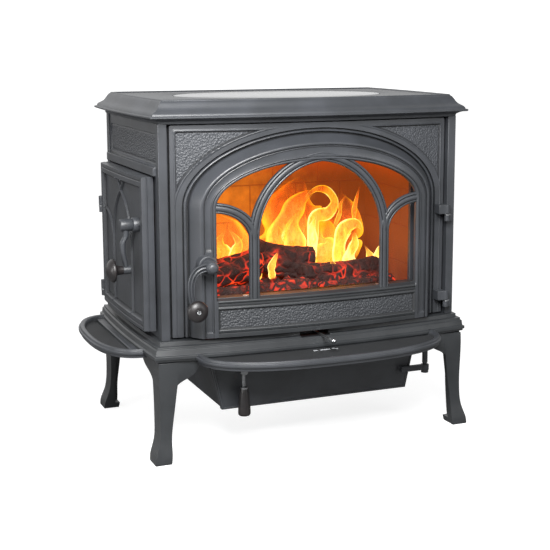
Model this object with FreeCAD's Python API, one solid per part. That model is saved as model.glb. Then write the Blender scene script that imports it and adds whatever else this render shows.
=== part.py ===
"""Cast-iron wood burning stove: bowed front door, side loading door, ash door, ash lips and legs.

Millimetres, +Z up. The parts are drawn about the middle of the body: X to the stove's right,
-Y out of the front door, Z = 0 on the floor. Each shape is then moved by ORIGIN_SHIFT, so that the
row's origin lies on the floor under the middle of the whole bounding box.
"""
import FreeCAD, Part
import math
import os

Vec = FreeCAD.Vector

# ---- driving dimensions (mm) ----
HEIGHT = 730.0            # floor to the top of the top plate
BODY_X = 333.0            # half width over the corner posts
BODY_Y = 202.5            # half depth over the corner posts
BODY_Z0 = 248.7           # foot of the posts, top of the base
BODY_Z1 = 683.0           # top of the posts
TOP_Z0 = 694.0            # underside of the top plate's lip
BASE_Z0 = 208.0           # underside of the base
POST = 18.0               # corner post section
PLATE = 10.0              # body plate thickness
FLOOR_Z = 262.0           # top of the grate
FIREBOX_Z1 = 592.0        # underside of the baffle

TOP_OVERHANG = 19.0       # top lip beyond the posts
TOP_BOW = 30.0            # bow of the top's front edge
SIDE_BOW = 9.0            # bow of the top's and base's side edges
TOP_BACK = 236.0          # back edge of the top
COVER_HALF_X = 236.0      # oval cover in the top plate
COVER_HALF_Y = 150.0
COVER_Y = -5.0            # its middle, ahead of the body's
BASE_OVERHANG = 20.8
BASE_BOW = 25.0
BASE_BACK = 229.0

DOOR_X = 310.0            # half width of the front door leaf
DOOR_Z0 = 253.0
DOOR_Z1 = 680.0
DOOR_FACE_Y = -225.0      # middle of the leaf's outer face
DOOR_BOW = 28.8           # bow of the leaf over its width
BOSS = 24.0               # boss's projection beyond the leaf
CASTING = 10.0            # wall of the door castings
BOSS_X = 285.0            # half width of the boss
BOSS_RISE = 153.0         # rise of the boss's arch
COVE_X = 247.0
COVE_RISE = 125.0
LIGHT_X = 223.0           # half width of the glazed opening
LIGHT_RISE = 91.0
LIGHT_Z0 = 332.0
SPRING_Z = 515.0          # springing line of all the door's arches
MULLION_X = 146.0
MULLION = 21.0
GLASS = 4.0

HINGE_X = 308.0           # front door hinge axis
HINGE_Y = -216.0
HINGE_Z = (474.0, 284.0)  # undersides of the two door lugs
LUG = 20.0                # lug height
PIN_R = 3.0
KNUCKLE_R = 6.0
RUN = 0.06                # radial clearance of a shaft in its hole
GAP = 0.4                 # gap between faces that pass each other

HANDLE_X = -247.0         # front handle axis
HANDLE_Z = 404.0
HANDLE_DROP = 82.0        # knob below the axis
HANDLE_OUT = 35.0         # knob beside the axis
LATCH_Y = -193.5          # inner end of the handle's shaft
SHAFT_R = 6.0
KNOB_R = 23.0

SIDE_DOOR_Y = 166.0       # half width of the side door
SIDE_DOOR_Z0 = 263.0
SIDE_DOOR_Z1 = 577.0
SIDE_DOOR_X = -358.0      # outer edge of the side door at its stiles
SIDE_DOOR_BOW = 5.0
SIDE_STILE = 24.0
SIDE_RECESS = 12.0
SIDE_OPEN_Y = 148.0       # half width of the opening behind the side door
SIDE_OPEN_Z = (282.0, 558.0)
SIDE_HINGE_X = -356.0
SIDE_HINGE_Y = 174.0
SIDE_HINGE_Z = (480.0, 289.0)
SIDE_HANDLE_Y = -117.0
SIDE_HANDLE_Z = 476.0
SIDE_CRANK = 92.0

FRONT_LIP_X = 272.0       # half width of the front ash lip
FRONT_LIP_Y = -364.0
SIDE_LIP_X = -438.0
SIDE_LIP_Y = 22.0         # middle of the side ash lip
SIDE_LIP_HALF = 176.0
LIP_Z0 = 208.0
LIP_Z1 = 224.0
LIP_FLOOR = 6.0
LIP_ROUND = 2.5           # exponent of the lips' superellipse outline

ASH_TOP_X = 240.0         # half width of the ash housing at the base
ASH_BOTTOM_X = 210.0
ASH_Z0 = 98.0
ASH_Y0 = -205.0
ASH_Y1 = 120.0
ASH_WALL = 4.0
ASH_PIN_X = 254.0
ASH_PIN_Y = -226.0
ASH_GRIP_X = -170.0
ASH_GRIP_Z = 178.0

LEVER_Z = 240.5
LEVER_Y = -302.0
LEVER_R = 2.5
LEVER_TRAVEL = (-40.0, 15.0)

LEG_X = 345.0
LEG_Y = 222.0
LEG_FLANGE = 10.0
LEG_WALL = 11.0           # wall of the angle-section shank
LEG_PAD = 12.0            # solid toe below the hollow
LEG_HEAD = 188.0          # solid head above the hollow
FLUE_R = 75.0             # inside radius of the flue collar
FLUE_Z = 560.0
FLUE_LENGTH = 55.0

ORIGIN_SHIFT = (37.67, 54.9, 0.0)   # minus the middle of the bounding box


def save(node, shape):
    """Write one sub-part, moved into the row's frame."""
    moved = shape.copy()
    moved.translate(Vec(*ORIGIN_SHIFT))
    moved.exportStep("parts/" + node + ".step")


def box(x0, x1, y0, y1, z0, z1):
    """Box between two corners."""
    return Part.makeBox(x1 - x0, y1 - y0, z1 - z0, Vec(x0, y0, z0))


def rod(radius, start, end):
    """Round bar from one point to another."""
    a = Vec(*start)
    b = Vec(*end)
    return Part.makeCylinder(radius, (b - a).Length, a, b - a)


def cone(r0, r1, start, end):
    """Tapered round bar from one point to another."""
    a = Vec(*start)
    b = Vec(*end)
    return Part.makeCone(r0, r1, (b - a).Length, a, b - a)


def joined(shapes):
    """One solid from touching shapes."""
    body = shapes[0].multiFuse(shapes[1:])
    return body.removeSplitter()


def bow_radius(half, bow):
    """Radius of the arc that bows by `bow` over a chord of 2 * half."""
    return (half * half + bow * bow) / (2.0 * bow)


def prism(points, direction):
    """Prism on a closed outline of straight edges."""
    wire = Part.makePolygon([Vec(*p) for p in points + points[:1]])
    return Part.Face(wire).extrude(Vec(*direction))


def turned_ring(outline, centre, turn):
    """Revolve an (r, z) outline about a vertical line, as a sector 28 degrees wide facing `turn`."""
    wire = Part.makePolygon([Vec(r, 0, z) for r, z in outline + outline[:1]])
    sector = Part.Face(wire).revolve(Vec(0, 0, 0), Vec(0, 0, 1), 28)
    sector.rotate(Vec(0, 0, 0), Vec(0, 0, 1), turn - 14)
    sector.translate(Vec(centre[0], centre[1], 0))
    return sector


def arc_points(cx, cz, radius, start, end, steps):
    """Points of an arc in the (inset, z) plane, angles in degrees."""
    points = []
    for i in range(steps + 1):
        a = math.radians(start + (end - start) * i / steps)
        points.append((cx + radius * math.cos(a), cz + radius * math.sin(a)))
    return points


def moulded_slab(profile, half_x, front_y, back_y, front_bow):
    """Slab whose edge follows an (inset, z) profile on all four sides, bowed at the front and sides."""
    low = profile[0][1]
    high = profile[-1][1]
    depth = 700.0
    front_r = bow_radius(half_x, front_bow)
    outline = [(front_r - depth, low)] + [(front_r - i, z) for i, z in profile]
    outline.append((front_r - depth, high))
    front = turned_ring(outline, (0, front_y - front_bow + front_r), -90)
    side_r = bow_radius((back_y - front_y) / 2.0, SIDE_BOW)
    middle = (front_y + back_y) / 2.0
    outline = [(side_r - 1.5 * depth, low)] + [(side_r - i, z) for i, z in profile]
    outline.append((side_r - 1.5 * depth, high))
    left = turned_ring(outline, (-half_x - SIDE_BOW + side_r, middle), 180)
    right = turned_ring(outline, (half_x + SIDE_BOW - side_r, middle), 0)
    back_line = [(-half_x - 50, back_y - i, z) for i, z in profile]
    back_line = [(-half_x - 50, back_y - depth, low)] + back_line + [(-half_x - 50, back_y - depth, high)]
    back = prism(back_line, (2 * half_x + 100, 0, 0))
    return front.common(left).common(right).common(back)


def top_profile():
    """Ogee of the top plate: lip, step, quarter round, cove, small round and rim."""
    z = TOP_Z0
    points = [(0, z), (0, z + 4.4), (4.7, z + 5.5)]
    points += arc_points(14, z + 5.5, 9, 180, 90, 4)
    points += arc_points(26, z + 25.5, 11, 180 + 75, 180, 4)[1:]
    points += [(18, z + 27.5), (26, z + 28.5), (30, z + 32.5), (34, z + 33), (34, HEIGHT)]
    return [p for i, p in enumerate(points) if i == 0 or p[1] >= points[i - 1][1] - 0.01]


def base_profile():
    """Ogee of the base, read upwards: foot, lip, cove and top bead."""
    z = BASE_Z0
    points = [(9, z), (9, z + 3), (3, z + 3.5), (3, z + 7.5), (0, z + 8), (0, z + 14)]
    points += [(4, z + 16), (5, z + 26), (8, z + 28), (8, z + 32), (16, z + 33), (16, BODY_Z0)]
    return points


def top_plate():
    """Top plate, hollow underneath, with a sunk seat for the oval cover."""
    slab = moulded_slab(top_profile(), BODY_X + TOP_OVERHANG, -BODY_Y - TOP_OVERHANG, TOP_BACK, TOP_BOW)
    neck = box(-BODY_X + 3, BODY_X - 3, -BODY_Y + 3, BODY_Y - 3, BODY_Z1, TOP_Z0)
    hollow = box(-BODY_X + 25, BODY_X - 25, -BODY_Y + 25, BODY_Y - 25, BODY_Z1, HEIGHT - 12)
    seat = oval_disc(0, HEIGHT - 6)
    return joined([slab, neck]).cut(hollow).cut(seat)


def oval_disc(gap, z0):
    """Elliptic disc that fills the cover's seat, smaller all round by `gap`."""
    ellipse = Part.Ellipse(Vec(0, COVER_Y, z0), COVER_HALF_X - gap, COVER_HALF_Y - gap)
    wire = Part.Wire(ellipse.toShape())
    return Part.Face(wire).extrude(Vec(0, 0, HEIGHT - z0))


def base_plate():
    """Base with its ogee edge, hollow below, with the ash drop, the air slot and the slide's pocket."""
    half = BODY_X + BASE_OVERHANG
    slab = moulded_slab(base_profile(), half, -BODY_Y - BASE_OVERHANG, BASE_BACK, BASE_BOW)
    hollow = box(-BODY_X + 20, BODY_X - 20, -178, BODY_Y - 5, BASE_Z0, BODY_Z0 - 8)
    drop = box(-125, 125, -75, 75, BASE_Z0, BODY_Z0)
    slot = box(LEVER_TRAVEL[0] - 5, LEVER_TRAVEL[1] + 5, -270, -190, LEVER_Z - 3.5, BODY_Z0)
    pocket = box(LEVER_TRAVEL[0] - 45, LEVER_TRAVEL[1] + 45, -214, -190, LEVER_Z - 3.5, BODY_Z0)
    return slab.cut(hollow).cut(drop).cut(slot).cut(pocket).cut(leg_bolts())


def corner_post(side_x, side_y):
    """Square post at one corner."""
    x = (side_x * BODY_X, side_x * (BODY_X - POST))
    y = (side_y * BODY_Y, side_y * (BODY_Y - POST))
    return box(min(x), max(x), min(y), max(y), BODY_Z0, BODY_Z1)


def side_panel():
    """Plain right side: plate, raised frame and recessed field."""
    y = BODY_Y - POST
    plate = box(BODY_X - PLATE - 3, BODY_X - 3, -y, y, BODY_Z0, BODY_Z1)
    field = box(BODY_X - 6, BODY_X, -y + 26, y - 26, 290, 574)
    upper = box(BODY_X - 6, BODY_X, -y + 10, y - 10, 604, 662)
    ledge = box(BODY_X - 3, BODY_X + 6, -y, y, 580, 597)
    return joined([plate.cut(field).cut(upper), ledge])


def loading_side():
    """Left side: plate with the loading opening, a recessed upper panel and a ledge."""
    y = BODY_Y - POST
    plate = box(-BODY_X + 3, -BODY_X + 3 + PLATE, -y, y, BODY_Z0, BODY_Z1)
    z0, z1 = SIDE_OPEN_Z
    hole = box(-BODY_X, -BODY_X + 20, -SIDE_OPEN_Y, SIDE_OPEN_Y, z0, z1)
    upper = box(-BODY_X, -BODY_X + 6, -y + 10, y - 10, 604, 662)
    ledge = box(-BODY_X - 6, -BODY_X + 3, -y, y, 580, 597)
    return joined([plate.cut(hole).cut(upper), ledge])


def rear_plate():
    """Rear plate with the flue hole."""
    x = BODY_X - POST
    plate = box(-x, x, BODY_Y - PLATE - 3, BODY_Y - 3, BODY_Z0, BODY_Z1)
    hole = rod(FLUE_R, (0, BODY_Y - 30, FLUE_Z), (0, BODY_Y + 10, FLUE_Z))
    return plate.cut(hole)


def front_frame():
    """Flat surround that the front door closes against."""
    x = BODY_X - POST
    plate = box(-x, x, -182, -172, BODY_Z0, BODY_Z1)
    return plate.cut(box(-236, 236, -190, -160, 276, 622))


# ---- inside the firebox ----
def firebox_floor():
    """Floor plate on the base, open over the ash drop."""
    plate = box(-308, 308, -170, 186, BODY_Z0, BODY_Z0 + 9)
    return plate.cut(box(-121, 121, -71, 71, BODY_Z0, BODY_Z0 + 9))


def grate():
    """Slotted grate in the floor."""
    body = box(-120, 120, -70, 70, BODY_Z0, FLOOR_Z)
    for i in range(9):
        x = -96 + 24 * i
        body = body.cut(box(x - 4, x + 4, -58, 58, BODY_Z0, FLOOR_Z))
    return body


def burn_plate_left():
    """Left burn plate, framing the loading opening."""
    plate = box(-306, -298, -160, 176, BODY_Z0 + 9, FIREBOX_Z1)
    z0, z1 = SIDE_OPEN_Z
    return plate.cut(box(-310, -290, -SIDE_OPEN_Y, SIDE_OPEN_Y, z0, z1))


def baffle():
    """Baffle over the fire, set back from the front to let the gases pass."""
    return box(-306, 306, -90, 176, FIREBOX_Z1, FIREBOX_Z1 + 10)


def air_manifold():
    """Secondary air duct under the baffle with a row of jets along its front."""
    duct = box(-270, 270, 132, 164, 566, 590)
    body = duct.cut(box(-267, 267, 135, 161, 569, 587))
    for i in range(7):
        x = -210 + 70 * i
        body = body.cut(box(x - 5, x + 5, 128, 136, 574, 582))
    return body


def flue_collar():
    """Round collar with a bolting flange on the rear plate."""
    y0 = BODY_Y - 3
    flange = rod(FLUE_R + 25, (0, y0, FLUE_Z), (0, y0 + 8, FLUE_Z))
    pipe = rod(FLUE_R + 6, (0, y0, FLUE_Z), (0, y0 + FLUE_LENGTH, FLUE_Z))
    bore = rod(FLUE_R, (0, y0 - 5, FLUE_Z), (0, y0 + FLUE_LENGTH + 5, FLUE_Z))
    return joined([flange, pipe]).cut(bore)


def flue_bolts():
    """Three bolt heads that hold the collar."""
    heads = []
    for turn in (90, 210, 330):
        x = (FLUE_R + 16) * math.cos(math.radians(turn))
        z = FLUE_Z + (FLUE_R + 16) * math.sin(math.radians(turn))
        heads.append(rod(5, (x, BODY_Y + 5, z), (x, BODY_Y + 10, z)))
    return Part.makeCompound(heads)


def heat_shield():
    """Rear heat shield below the collar on four spacers."""
    sheet = box(-270, 270, BODY_Y + 15, BODY_Y + 17, 262, 440)
    parts = [sheet]
    for x in (-240, 240):
        for z in (290, 412):
            parts.append(rod(6, (x, BODY_Y - 3, z), (x, BODY_Y + 15, z)))
    return joined(parts)


def tie_rods():
    """Four rods that clamp the top to the base."""
    rods = []
    for x in (-314.5, 314.5):
        for y in (-166, 180):
            rods.append(rod(4, (x, y, BODY_Z0), (x, y, BODY_Z1)))
    return Part.makeCompound(rods)


# ---- front door ----
def arch_prism(half, rise, z0, y0=-320.0, y1=-120.0):
    """Prism through the door on an outline with upright sides and a half-elliptic head."""
    ellipse = Part.Ellipse(Vec(half, 0, SPRING_Z), Vec(0, 0, SPRING_Z + rise), Vec(0, 0, SPRING_Z))
    if half < rise:
        raise ValueError("the arch must be wider than it is high")
    head = Part.ArcOfEllipse(ellipse, 0, math.pi).toShape()
    a = head.Vertexes[0].Point
    b = head.Vertexes[1].Point
    foot_b = Vec(b.x, 0, z0)
    foot_a = Vec(a.x, 0, z0)
    edges = [head, Part.makeLine(b, foot_b), Part.makeLine(foot_b, foot_a), Part.makeLine(foot_a, a)]
    face = Part.Face(Part.Wire(Part.__sortEdges__(edges)))
    face.translate(Vec(0, y0, 0))
    return face.extrude(Vec(0, y1 - y0, 0))


def door_shell(outer, inner):
    """Bowed sheet between two offsets from the leaf's outer face, over the whole leaf's height."""
    radius = bow_radius(DOOR_X, DOOR_BOW)
    outline = [(radius + inner, DOOR_Z0), (radius + outer, DOOR_Z0)]
    outline += [(radius + outer, DOOR_Z1), (radius + inner, DOOR_Z1)]
    return turned_ring(outline, (0, DOOR_FACE_Y + radius), -90)


def lancet_bars():
    """Tracery outline: two mullions, a tall central lancet and two half arches, as solid prisms."""
    bars = []
    for side in (-1, 1):
        x = side * MULLION_X
        bars.append(box(x - MULLION / 2, x + MULLION / 2, -300, -150, LIGHT_Z0, 470))
        bars.append(curved_bar((side * MULLION_X, 460), (side * 100, 545), (side * 4, 606)))
        bars.append(curved_bar((side * MULLION_X, 452), (side * 178, 500), (side * 226, 517)))
    return bars


def curved_bar(start, middle, end):
    """Bar of the tracery's width along an arc through three (x, z) points."""
    points = [Vec(p[0], -300, p[1]) for p in (start, middle, end)]
    circle = Part.Arc(*points).toShape().Curve
    centre = circle.Center
    radius = circle.Radius
    rings = []
    for offset in (-MULLION / 2, MULLION / 2):
        scale = (radius + offset) / radius
        rings.append(Part.Arc(*[centre + (p - centre) * scale for p in points]).toShape())
    ends = []
    for i in (0, 1):
        ends.append(Part.makeLine(rings[0].Vertexes[i].Point, rings[1].Vertexes[i].Point))
    face = Part.Face(Part.Wire(Part.__sortEdges__(rings + ends)))
    return face.extrude(Vec(0, 150, 0))


def front_door_casting():
    """Bowed leaf, hollow arched boss, glazed opening with its tracery, handle bore."""
    edge = box(-DOOR_X, DOOR_X, -320, -150, DOOR_Z0, DOOR_Z1)
    outer_arch = arch_prism(BOSS_X, BOSS_RISE, DOOR_Z0)
    cove_arch = arch_prism(COVE_X, COVE_RISE, DOOR_Z0)
    hollow_arch = arch_prism(COVE_X - 4, COVE_RISE - 4, DOOR_Z0 + 12)
    light = arch_prism(LIGHT_X, LIGHT_RISE, LIGHT_Z0)
    leaf = door_shell(0, -CASTING).common(edge).cut(hollow_arch)
    step = door_shell(BOSS * 0.4, -CASTING).common(outer_arch).cut(hollow_arch)
    boss = door_shell(BOSS, BOSS - CASTING).common(cove_arch)
    wall = door_shell(BOSS, -CASTING).common(cove_arch).cut(hollow_arch)
    solid = joined([leaf, step, boss, wall]).cut(light)
    sheet = door_shell(BOSS, BOSS - 8)
    bars = sheet.common(joined(lancet_bars())).common(arch_prism(LIGHT_X + 3, LIGHT_RISE + 3, LIGHT_Z0 - 3))
    bore = rod(SHAFT_R + RUN, (HANDLE_X, -300, HANDLE_Z), (HANDLE_X, -150, HANDLE_Z))
    return joined([solid, bars]).cut(bore)


def front_glass():
    """Curved pane behind the tracery."""
    pane = door_shell(BOSS - CASTING - 4, BOSS - CASTING - 4 - GLASS)
    return pane.common(arch_prism(LIGHT_X + 10, LIGHT_RISE + 10, LIGHT_Z0 - 10))


def front_gasket():
    """Rope seal between the pane and the casting."""
    rope = door_shell(BOSS - CASTING, BOSS - CASTING - 4)
    band = arch_prism(LIGHT_X + 10, LIGHT_RISE + 10, LIGHT_Z0 - 10)
    return rope.common(band).cut(arch_prism(LIGHT_X + 2, LIGHT_RISE + 2, LIGHT_Z0 - 2))


def glass_clips():
    """Four clips that hold the pane from behind."""
    clips = []
    z_low = LIGHT_Z0 - 12
    for x in (-150, 150):
        clips.append(door_shell(BOSS - CASTING - 8, -1).common(box(x - 15, x + 15, -260, -180, z_low, z_low + 14)))
    for x in (-90, 90):
        clips.append(door_shell(BOSS - CASTING - 8, -1).common(box(x - 12, x + 12, -260, -180, 600, 616)))
    return Part.makeCompound(clips)


def hinge_lug(x, y, z, reach):
    """Door lug: a round eye over the hinge axis and an arm back to the door, with its pin below."""
    eye = Part.makeCylinder(KNUCKLE_R + 0.5, LUG, Vec(x, y, z))
    arm = box(min(x, x + reach[0]), max(x, x + reach[0]), min(y, y + reach[1]), max(y, y + reach[1]), z, z + LUG)
    pin = Part.makeCylinder(PIN_R, LUG + 15, Vec(x, y, z - 15))
    return joined([eye, arm, pin])


def front_lugs():
    """The front door's two lugs, set on the leaf's right edge."""
    lugs = []
    back = door_shell(30, 0)
    for z in HINGE_Z:
        pad = box(HINGE_X - 22, HINGE_X - 1, HINGE_Y - 5, -190, z, z + LUG).common(back)
        bore_pin = hinge_lug(HINGE_X, HINGE_Y, z, (-22, 5))
        lugs.append(joined([pad, bore_pin]))
    shape = Part.makeCompound(lugs)
    return shape.cut(door_shell(BOSS * 0.4, -CASTING).common(arch_prism(BOSS_X, BOSS_RISE, DOOR_Z0)))


def knuckle(x, y, z, reach_x, reach_y):
    """Fixed knuckle under a lug, with an ear to the post."""
    height = 16.0
    top = z - GAP
    eye = Part.makeCylinder(KNUCKLE_R, height, Vec(x, y, top - height))
    x0, x1 = reach_x
    y0, y1 = reach_y
    ear = box(x0, x1, y0, y1, top - height, top)
    bore = Part.makeCylinder(PIN_R + RUN, height + 2, Vec(x, y, top - height - 1))
    return joined([eye, ear]).cut(bore)


def front_knuckles():
    """The two knuckles on the right-hand post."""
    parts = [knuckle(HINGE_X, HINGE_Y, z, (HINGE_X, HINGE_X + 12), (HINGE_Y, -BODY_Y)) for z in HINGE_Z]
    return Part.makeCompound(parts)


# ---- front handle ----
def front_escutcheon():
    """Round plate under the handle's hub, fixed to the door."""
    ring = rod(20, (HANDLE_X, -246, HANDLE_Z), (HANDLE_X, -226, HANDLE_Z))
    bore = rod(SHAFT_R + RUN, (HANDLE_X, -260, HANDLE_Z), (HANDLE_X, -200, HANDLE_Z))
    solid_door = joined([door_shell(BOSS, -CASTING).common(arch_prism(COVE_X, COVE_RISE, DOOR_Z0)),
                         door_shell(BOSS * 0.4, -CASTING).common(arch_prism(BOSS_X, BOSS_RISE, DOOR_Z0))])
    return ring.cut(bore).cut(solid_door)


def front_handle_arm():
    """Hub, shaft through the door and the swept arm down to the knob's seat."""
    hub = rod(13, (HANDLE_X, -280, HANDLE_Z), (HANDLE_X, -246 - GAP, HANDLE_Z))
    shaft = rod(SHAFT_R, (HANDLE_X, -262, HANDLE_Z), (HANDLE_X, LATCH_Y, HANDLE_Z))
    knee = Vec(HANDLE_X - HANDLE_OUT + 2, -262, HANDLE_Z - 40)
    start = Vec(HANDLE_X, -262, HANDLE_Z - 2)
    bend = Vec(HANDLE_X - 24, -262, HANDLE_Z - 12)
    arc = Part.Arc(start, bend, knee).toShape()
    drop = Part.makeLine(knee, Vec(HANDLE_X - HANDLE_OUT, -262, HANDLE_Z - HANDLE_DROP))
    path = Part.Wire([arc, drop])
    ring = Part.Wire(Part.makeCircle(6.5, start, path.Edges[0].tangentAt(path.Edges[0].FirstParameter)))
    arm = path.makePipeShell([ring], True, False)
    seat = rod(9, (HANDLE_X - HANDLE_OUT, -269, HANDLE_Z - HANDLE_DROP),
               (HANDLE_X - HANDLE_OUT, -255, HANDLE_Z - HANDLE_DROP))
    return joined([hub, shaft, arm, seat])


def mushroom(centre, axis, radius, length, face):
    """Turned knob: a neck and a domed head, with its neck end at `centre`."""
    a = Vec(*centre)
    d = Vec(*axis)
    neck = Part.makeCone(radius * 0.42, radius * 0.36, length - face, a, d)
    rim = Part.makeCylinder(radius, face * 0.45, a + d * (length - face), d)
    dome = Part.makeCone(radius, radius * 0.6, face * 0.55, a + d * (length - face * 0.55), d)
    return joined([neck, rim, dome])


def front_knob():
    """Knob at the end of the front handle."""
    x = HANDLE_X - HANDLE_OUT
    return mushroom((x, -269, HANDLE_Z - HANDLE_DROP), (0, -1, 0), KNOB_R, 22, 16)


def front_knob_screw():
    """Screw head in the knob's face."""
    x = HANDLE_X - HANDLE_OUT
    z = HANDLE_Z - HANDLE_DROP
    return rod(4.5, (x, -294, z), (x, -291, z))


def front_latch():
    """Cam on the inner end of the handle's shaft."""
    disc = rod(13, (HANDLE_X, LATCH_Y, HANDLE_Z), (HANDLE_X, LATCH_Y + 8, HANDLE_Z))
    tongue = box(HANDLE_X - 8, HANDLE_X + 8, LATCH_Y, LATCH_Y + 8, HANDLE_Z, HANDLE_Z + 30)
    return joined([disc, tongue])


# ---- side door ----
def side_shell(offset, thickness, half_y, z0, z1):
    """Bowed sheet parallel to the side door's face; offset is measured inwards."""
    radius = bow_radius(SIDE_DOOR_Y, SIDE_DOOR_BOW)
    outer = radius - offset
    outline = [(outer - thickness, z0), (outer, z0), (outer, z1), (outer - thickness, z1)]
    ring = turned_ring(outline, (SIDE_DOOR_X - SIDE_DOOR_BOW + radius, 0), 180)
    return ring.common(box(-420, -250, -half_y, half_y, z0, z1))


def side_door_casting():
    """Box-framed side door with a recessed field and raised lancet ribs."""
    y = SIDE_DOOR_Y
    back = -BODY_X - GAP
    block = side_shell(0, 60, y, SIDE_DOOR_Z0, SIDE_DOOR_Z1).common(box(-420, back, -y, y, 0, 800))
    field_z = (SIDE_DOOR_Z0 + SIDE_STILE, SIDE_DOOR_Z1 - SIDE_STILE)
    field = side_shell(-5, SIDE_RECESS + 5, y - SIDE_STILE, *field_z)
    inner = box(back - 9, back, -y + 14, y - 14, SIDE_DOOR_Z0 + 14, SIDE_DOOR_Z1 - 14)
    ribs = []
    for rib_y in (-88, 30, 100):
        ribs.append(side_shell(SIDE_RECESS - 5, 7, y, *field_z).common(box(-420, -330, rib_y - 4, rib_y + 4, 0, 520)))
    bore = rod(SHAFT_R + RUN, (-420, SIDE_HANDLE_Y, SIDE_HANDLE_Z), (-300, SIDE_HANDLE_Y, SIDE_HANDLE_Z))
    return joined([block.cut(field).cut(inner)] + ribs).cut(bore)


def side_door_liner():
    """Inner plate of the side door, which stands in the opening."""
    z0, z1 = SIDE_OPEN_Z
    plate = box(-BODY_X - GAP - 9, -322, -SIDE_OPEN_Y + 10, SIDE_OPEN_Y - 10, z0 + 8, z1 - 8)
    notch = box(-345, -300, SIDE_HANDLE_Y - 22, SIDE_HANDLE_Y + 22, SIDE_HANDLE_Z - 24, SIDE_HANDLE_Z + 40)
    return plate.cut(notch)


def side_gasket():
    """Rope seal round the side door's back."""
    y = SIDE_OPEN_Y + 3
    z0, z1 = SIDE_OPEN_Z
    outer = box(-BODY_X - GAP - 9, -BODY_X - GAP, -y, y, z0 - 3, z1 + 3)
    return outer.cut(box(-350, -320, -y + 8, y - 8, z0 + 5, z1 - 5))


def side_lugs():
    """Lugs at the side door's rear edge."""
    lugs = [hinge_lug(SIDE_HINGE_X, SIDE_HINGE_Y, z, (12, SIDE_DOOR_Y - SIDE_HINGE_Y)) for z in SIDE_HINGE_Z]
    return Part.makeCompound(lugs).cut(box(-420, -300, -SIDE_DOOR_Y, SIDE_DOOR_Y, 0, 800))


def side_knuckles():
    """Knuckles on the rear left post."""
    reach_x = (SIDE_HINGE_X, -BODY_X)
    reach_y = (SIDE_HINGE_Y, SIDE_HINGE_Y + 6)
    parts = [knuckle(SIDE_HINGE_X, SIDE_HINGE_Y, z, reach_x, reach_y) for z in SIDE_HINGE_Z]
    pads = [box(-BODY_X, -BODY_X + 3, SIDE_HINGE_Y, SIDE_HINGE_Y + 6, z - 16.4, z - GAP) for z in SIDE_HINGE_Z]
    return Part.makeCompound([joined([part, pad]) for part, pad in zip(parts, pads)])


def side_escutcheon():
    """Boss round the side handle's shaft, fixed to the side door's field."""
    y, z = SIDE_HANDLE_Y, SIDE_HANDLE_Z
    ring = rod(15, (-366, y, z), (-346, y, z))
    bore = rod(SHAFT_R + RUN, (-380, y, z), (-330, y, z))
    body = side_shell(SIDE_RECESS, 30, SIDE_DOOR_Y, SIDE_DOOR_Z0, SIDE_DOOR_Z1)
    return ring.cut(bore).cut(body)


def side_handle_crank():
    """Hub with its shaft and the offset crank arm."""
    y, z = SIDE_HANDLE_Y, SIDE_HANDLE_Z
    hub = rod(12.5, (-392, y, z), (-366 - GAP, y, z))
    shaft = rod(SHAFT_R, (-380, y, z), (-338, y, z))
    bend = rod(5.5, (-380, y, z - 6), (-384, y, z - 26))
    arm = rod(5.5, (-384, y, z - 26), (-378, y, z - SIDE_CRANK))
    seat = rod(8, (-387, y, z - SIDE_CRANK), (-370, y, z - SIDE_CRANK))
    return joined([hub, shaft, bend, arm, seat, ball(5.5, (-384, y, z - 26))])


def ball(radius, centre):
    """Sphere."""
    return Part.makeSphere(radius, Vec(*centre))


def side_knob():
    """Knob on the crank."""
    return mushroom((-387, SIDE_HANDLE_Y, SIDE_HANDLE_Z - SIDE_CRANK), (-1, 0, 0), 24, 35, 17)


def side_latch():
    """Cam on the inner end of the side handle's shaft."""
    y, z = SIDE_HANDLE_Y, SIDE_HANDLE_Z
    disc = rod(11, (-338, y, z), (-331, y, z))
    tongue = box(-338, -331, y - 7, y + 7, z, z + 22)
    return joined([disc, tongue])


# ---- ash lips, air slide ----
def lip_outline(half, depth, inset, z):
    """Half superellipse, open side on the u axis, as a smooth closed face at height z."""
    points = []
    steps = 16
    for i in range(steps + 1):
        a = math.pi * i / steps
        u = math.copysign(abs(math.cos(a)) ** (2 / LIP_ROUND), math.cos(a)) * (half - inset)
        v = (math.sin(a) ** (2 / LIP_ROUND) if 0 < i < steps else 0) * (depth - inset)
        points.append(Vec(u, -v, z))
    curve = Part.BSplineCurve()
    curve.interpolate(points)
    edge = curve.toShape()
    return Part.Face(Part.Wire([edge, Part.makeLine(points[-1], points[0])]))


def lip_tray(half, depth):
    """Ash lip with a stepped rim and a sunk floor, its straight back on the X axis."""
    height = LIP_Z1 - LIP_Z0
    low = lip_outline(half, depth, 4, 0).extrude(Vec(0, 0, height * 0.35))
    mid = lip_outline(half, depth, 0, height * 0.35).extrude(Vec(0, 0, height * 0.35))
    high = lip_outline(half, depth, 3, height * 0.7).extrude(Vec(0, 0, height * 0.3))
    sunk = lip_outline(half, depth, 15, LIP_FLOOR).extrude(Vec(0, 0, height))
    return joined([low, mid, high]).cut(sunk)


def base_body():
    """The base's outer solid, used to trim the lips."""
    half = BODY_X + BASE_OVERHANG
    return moulded_slab(base_profile(), half, -BODY_Y - BASE_OVERHANG, BASE_BACK, BASE_BOW)


def front_lip():
    """Front ash lip, fitted round the base's bowed edge."""
    back_y = -232.0
    tray = lip_tray(FRONT_LIP_X, back_y - FRONT_LIP_Y)
    tray.translate(Vec(0, back_y, LIP_Z0))
    return tray.cut(base_body())


def side_lip():
    """Side ash lip under the loading door."""
    back_x = -350.0
    tray = lip_tray(SIDE_LIP_HALF, back_x - SIDE_LIP_X)
    tray.rotate(Vec(0, 0, 0), Vec(0, 0, 1), -90)
    tray.translate(Vec(back_x, SIDE_LIP_Y, LIP_Z0))
    return tray.cut(base_body())


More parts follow.
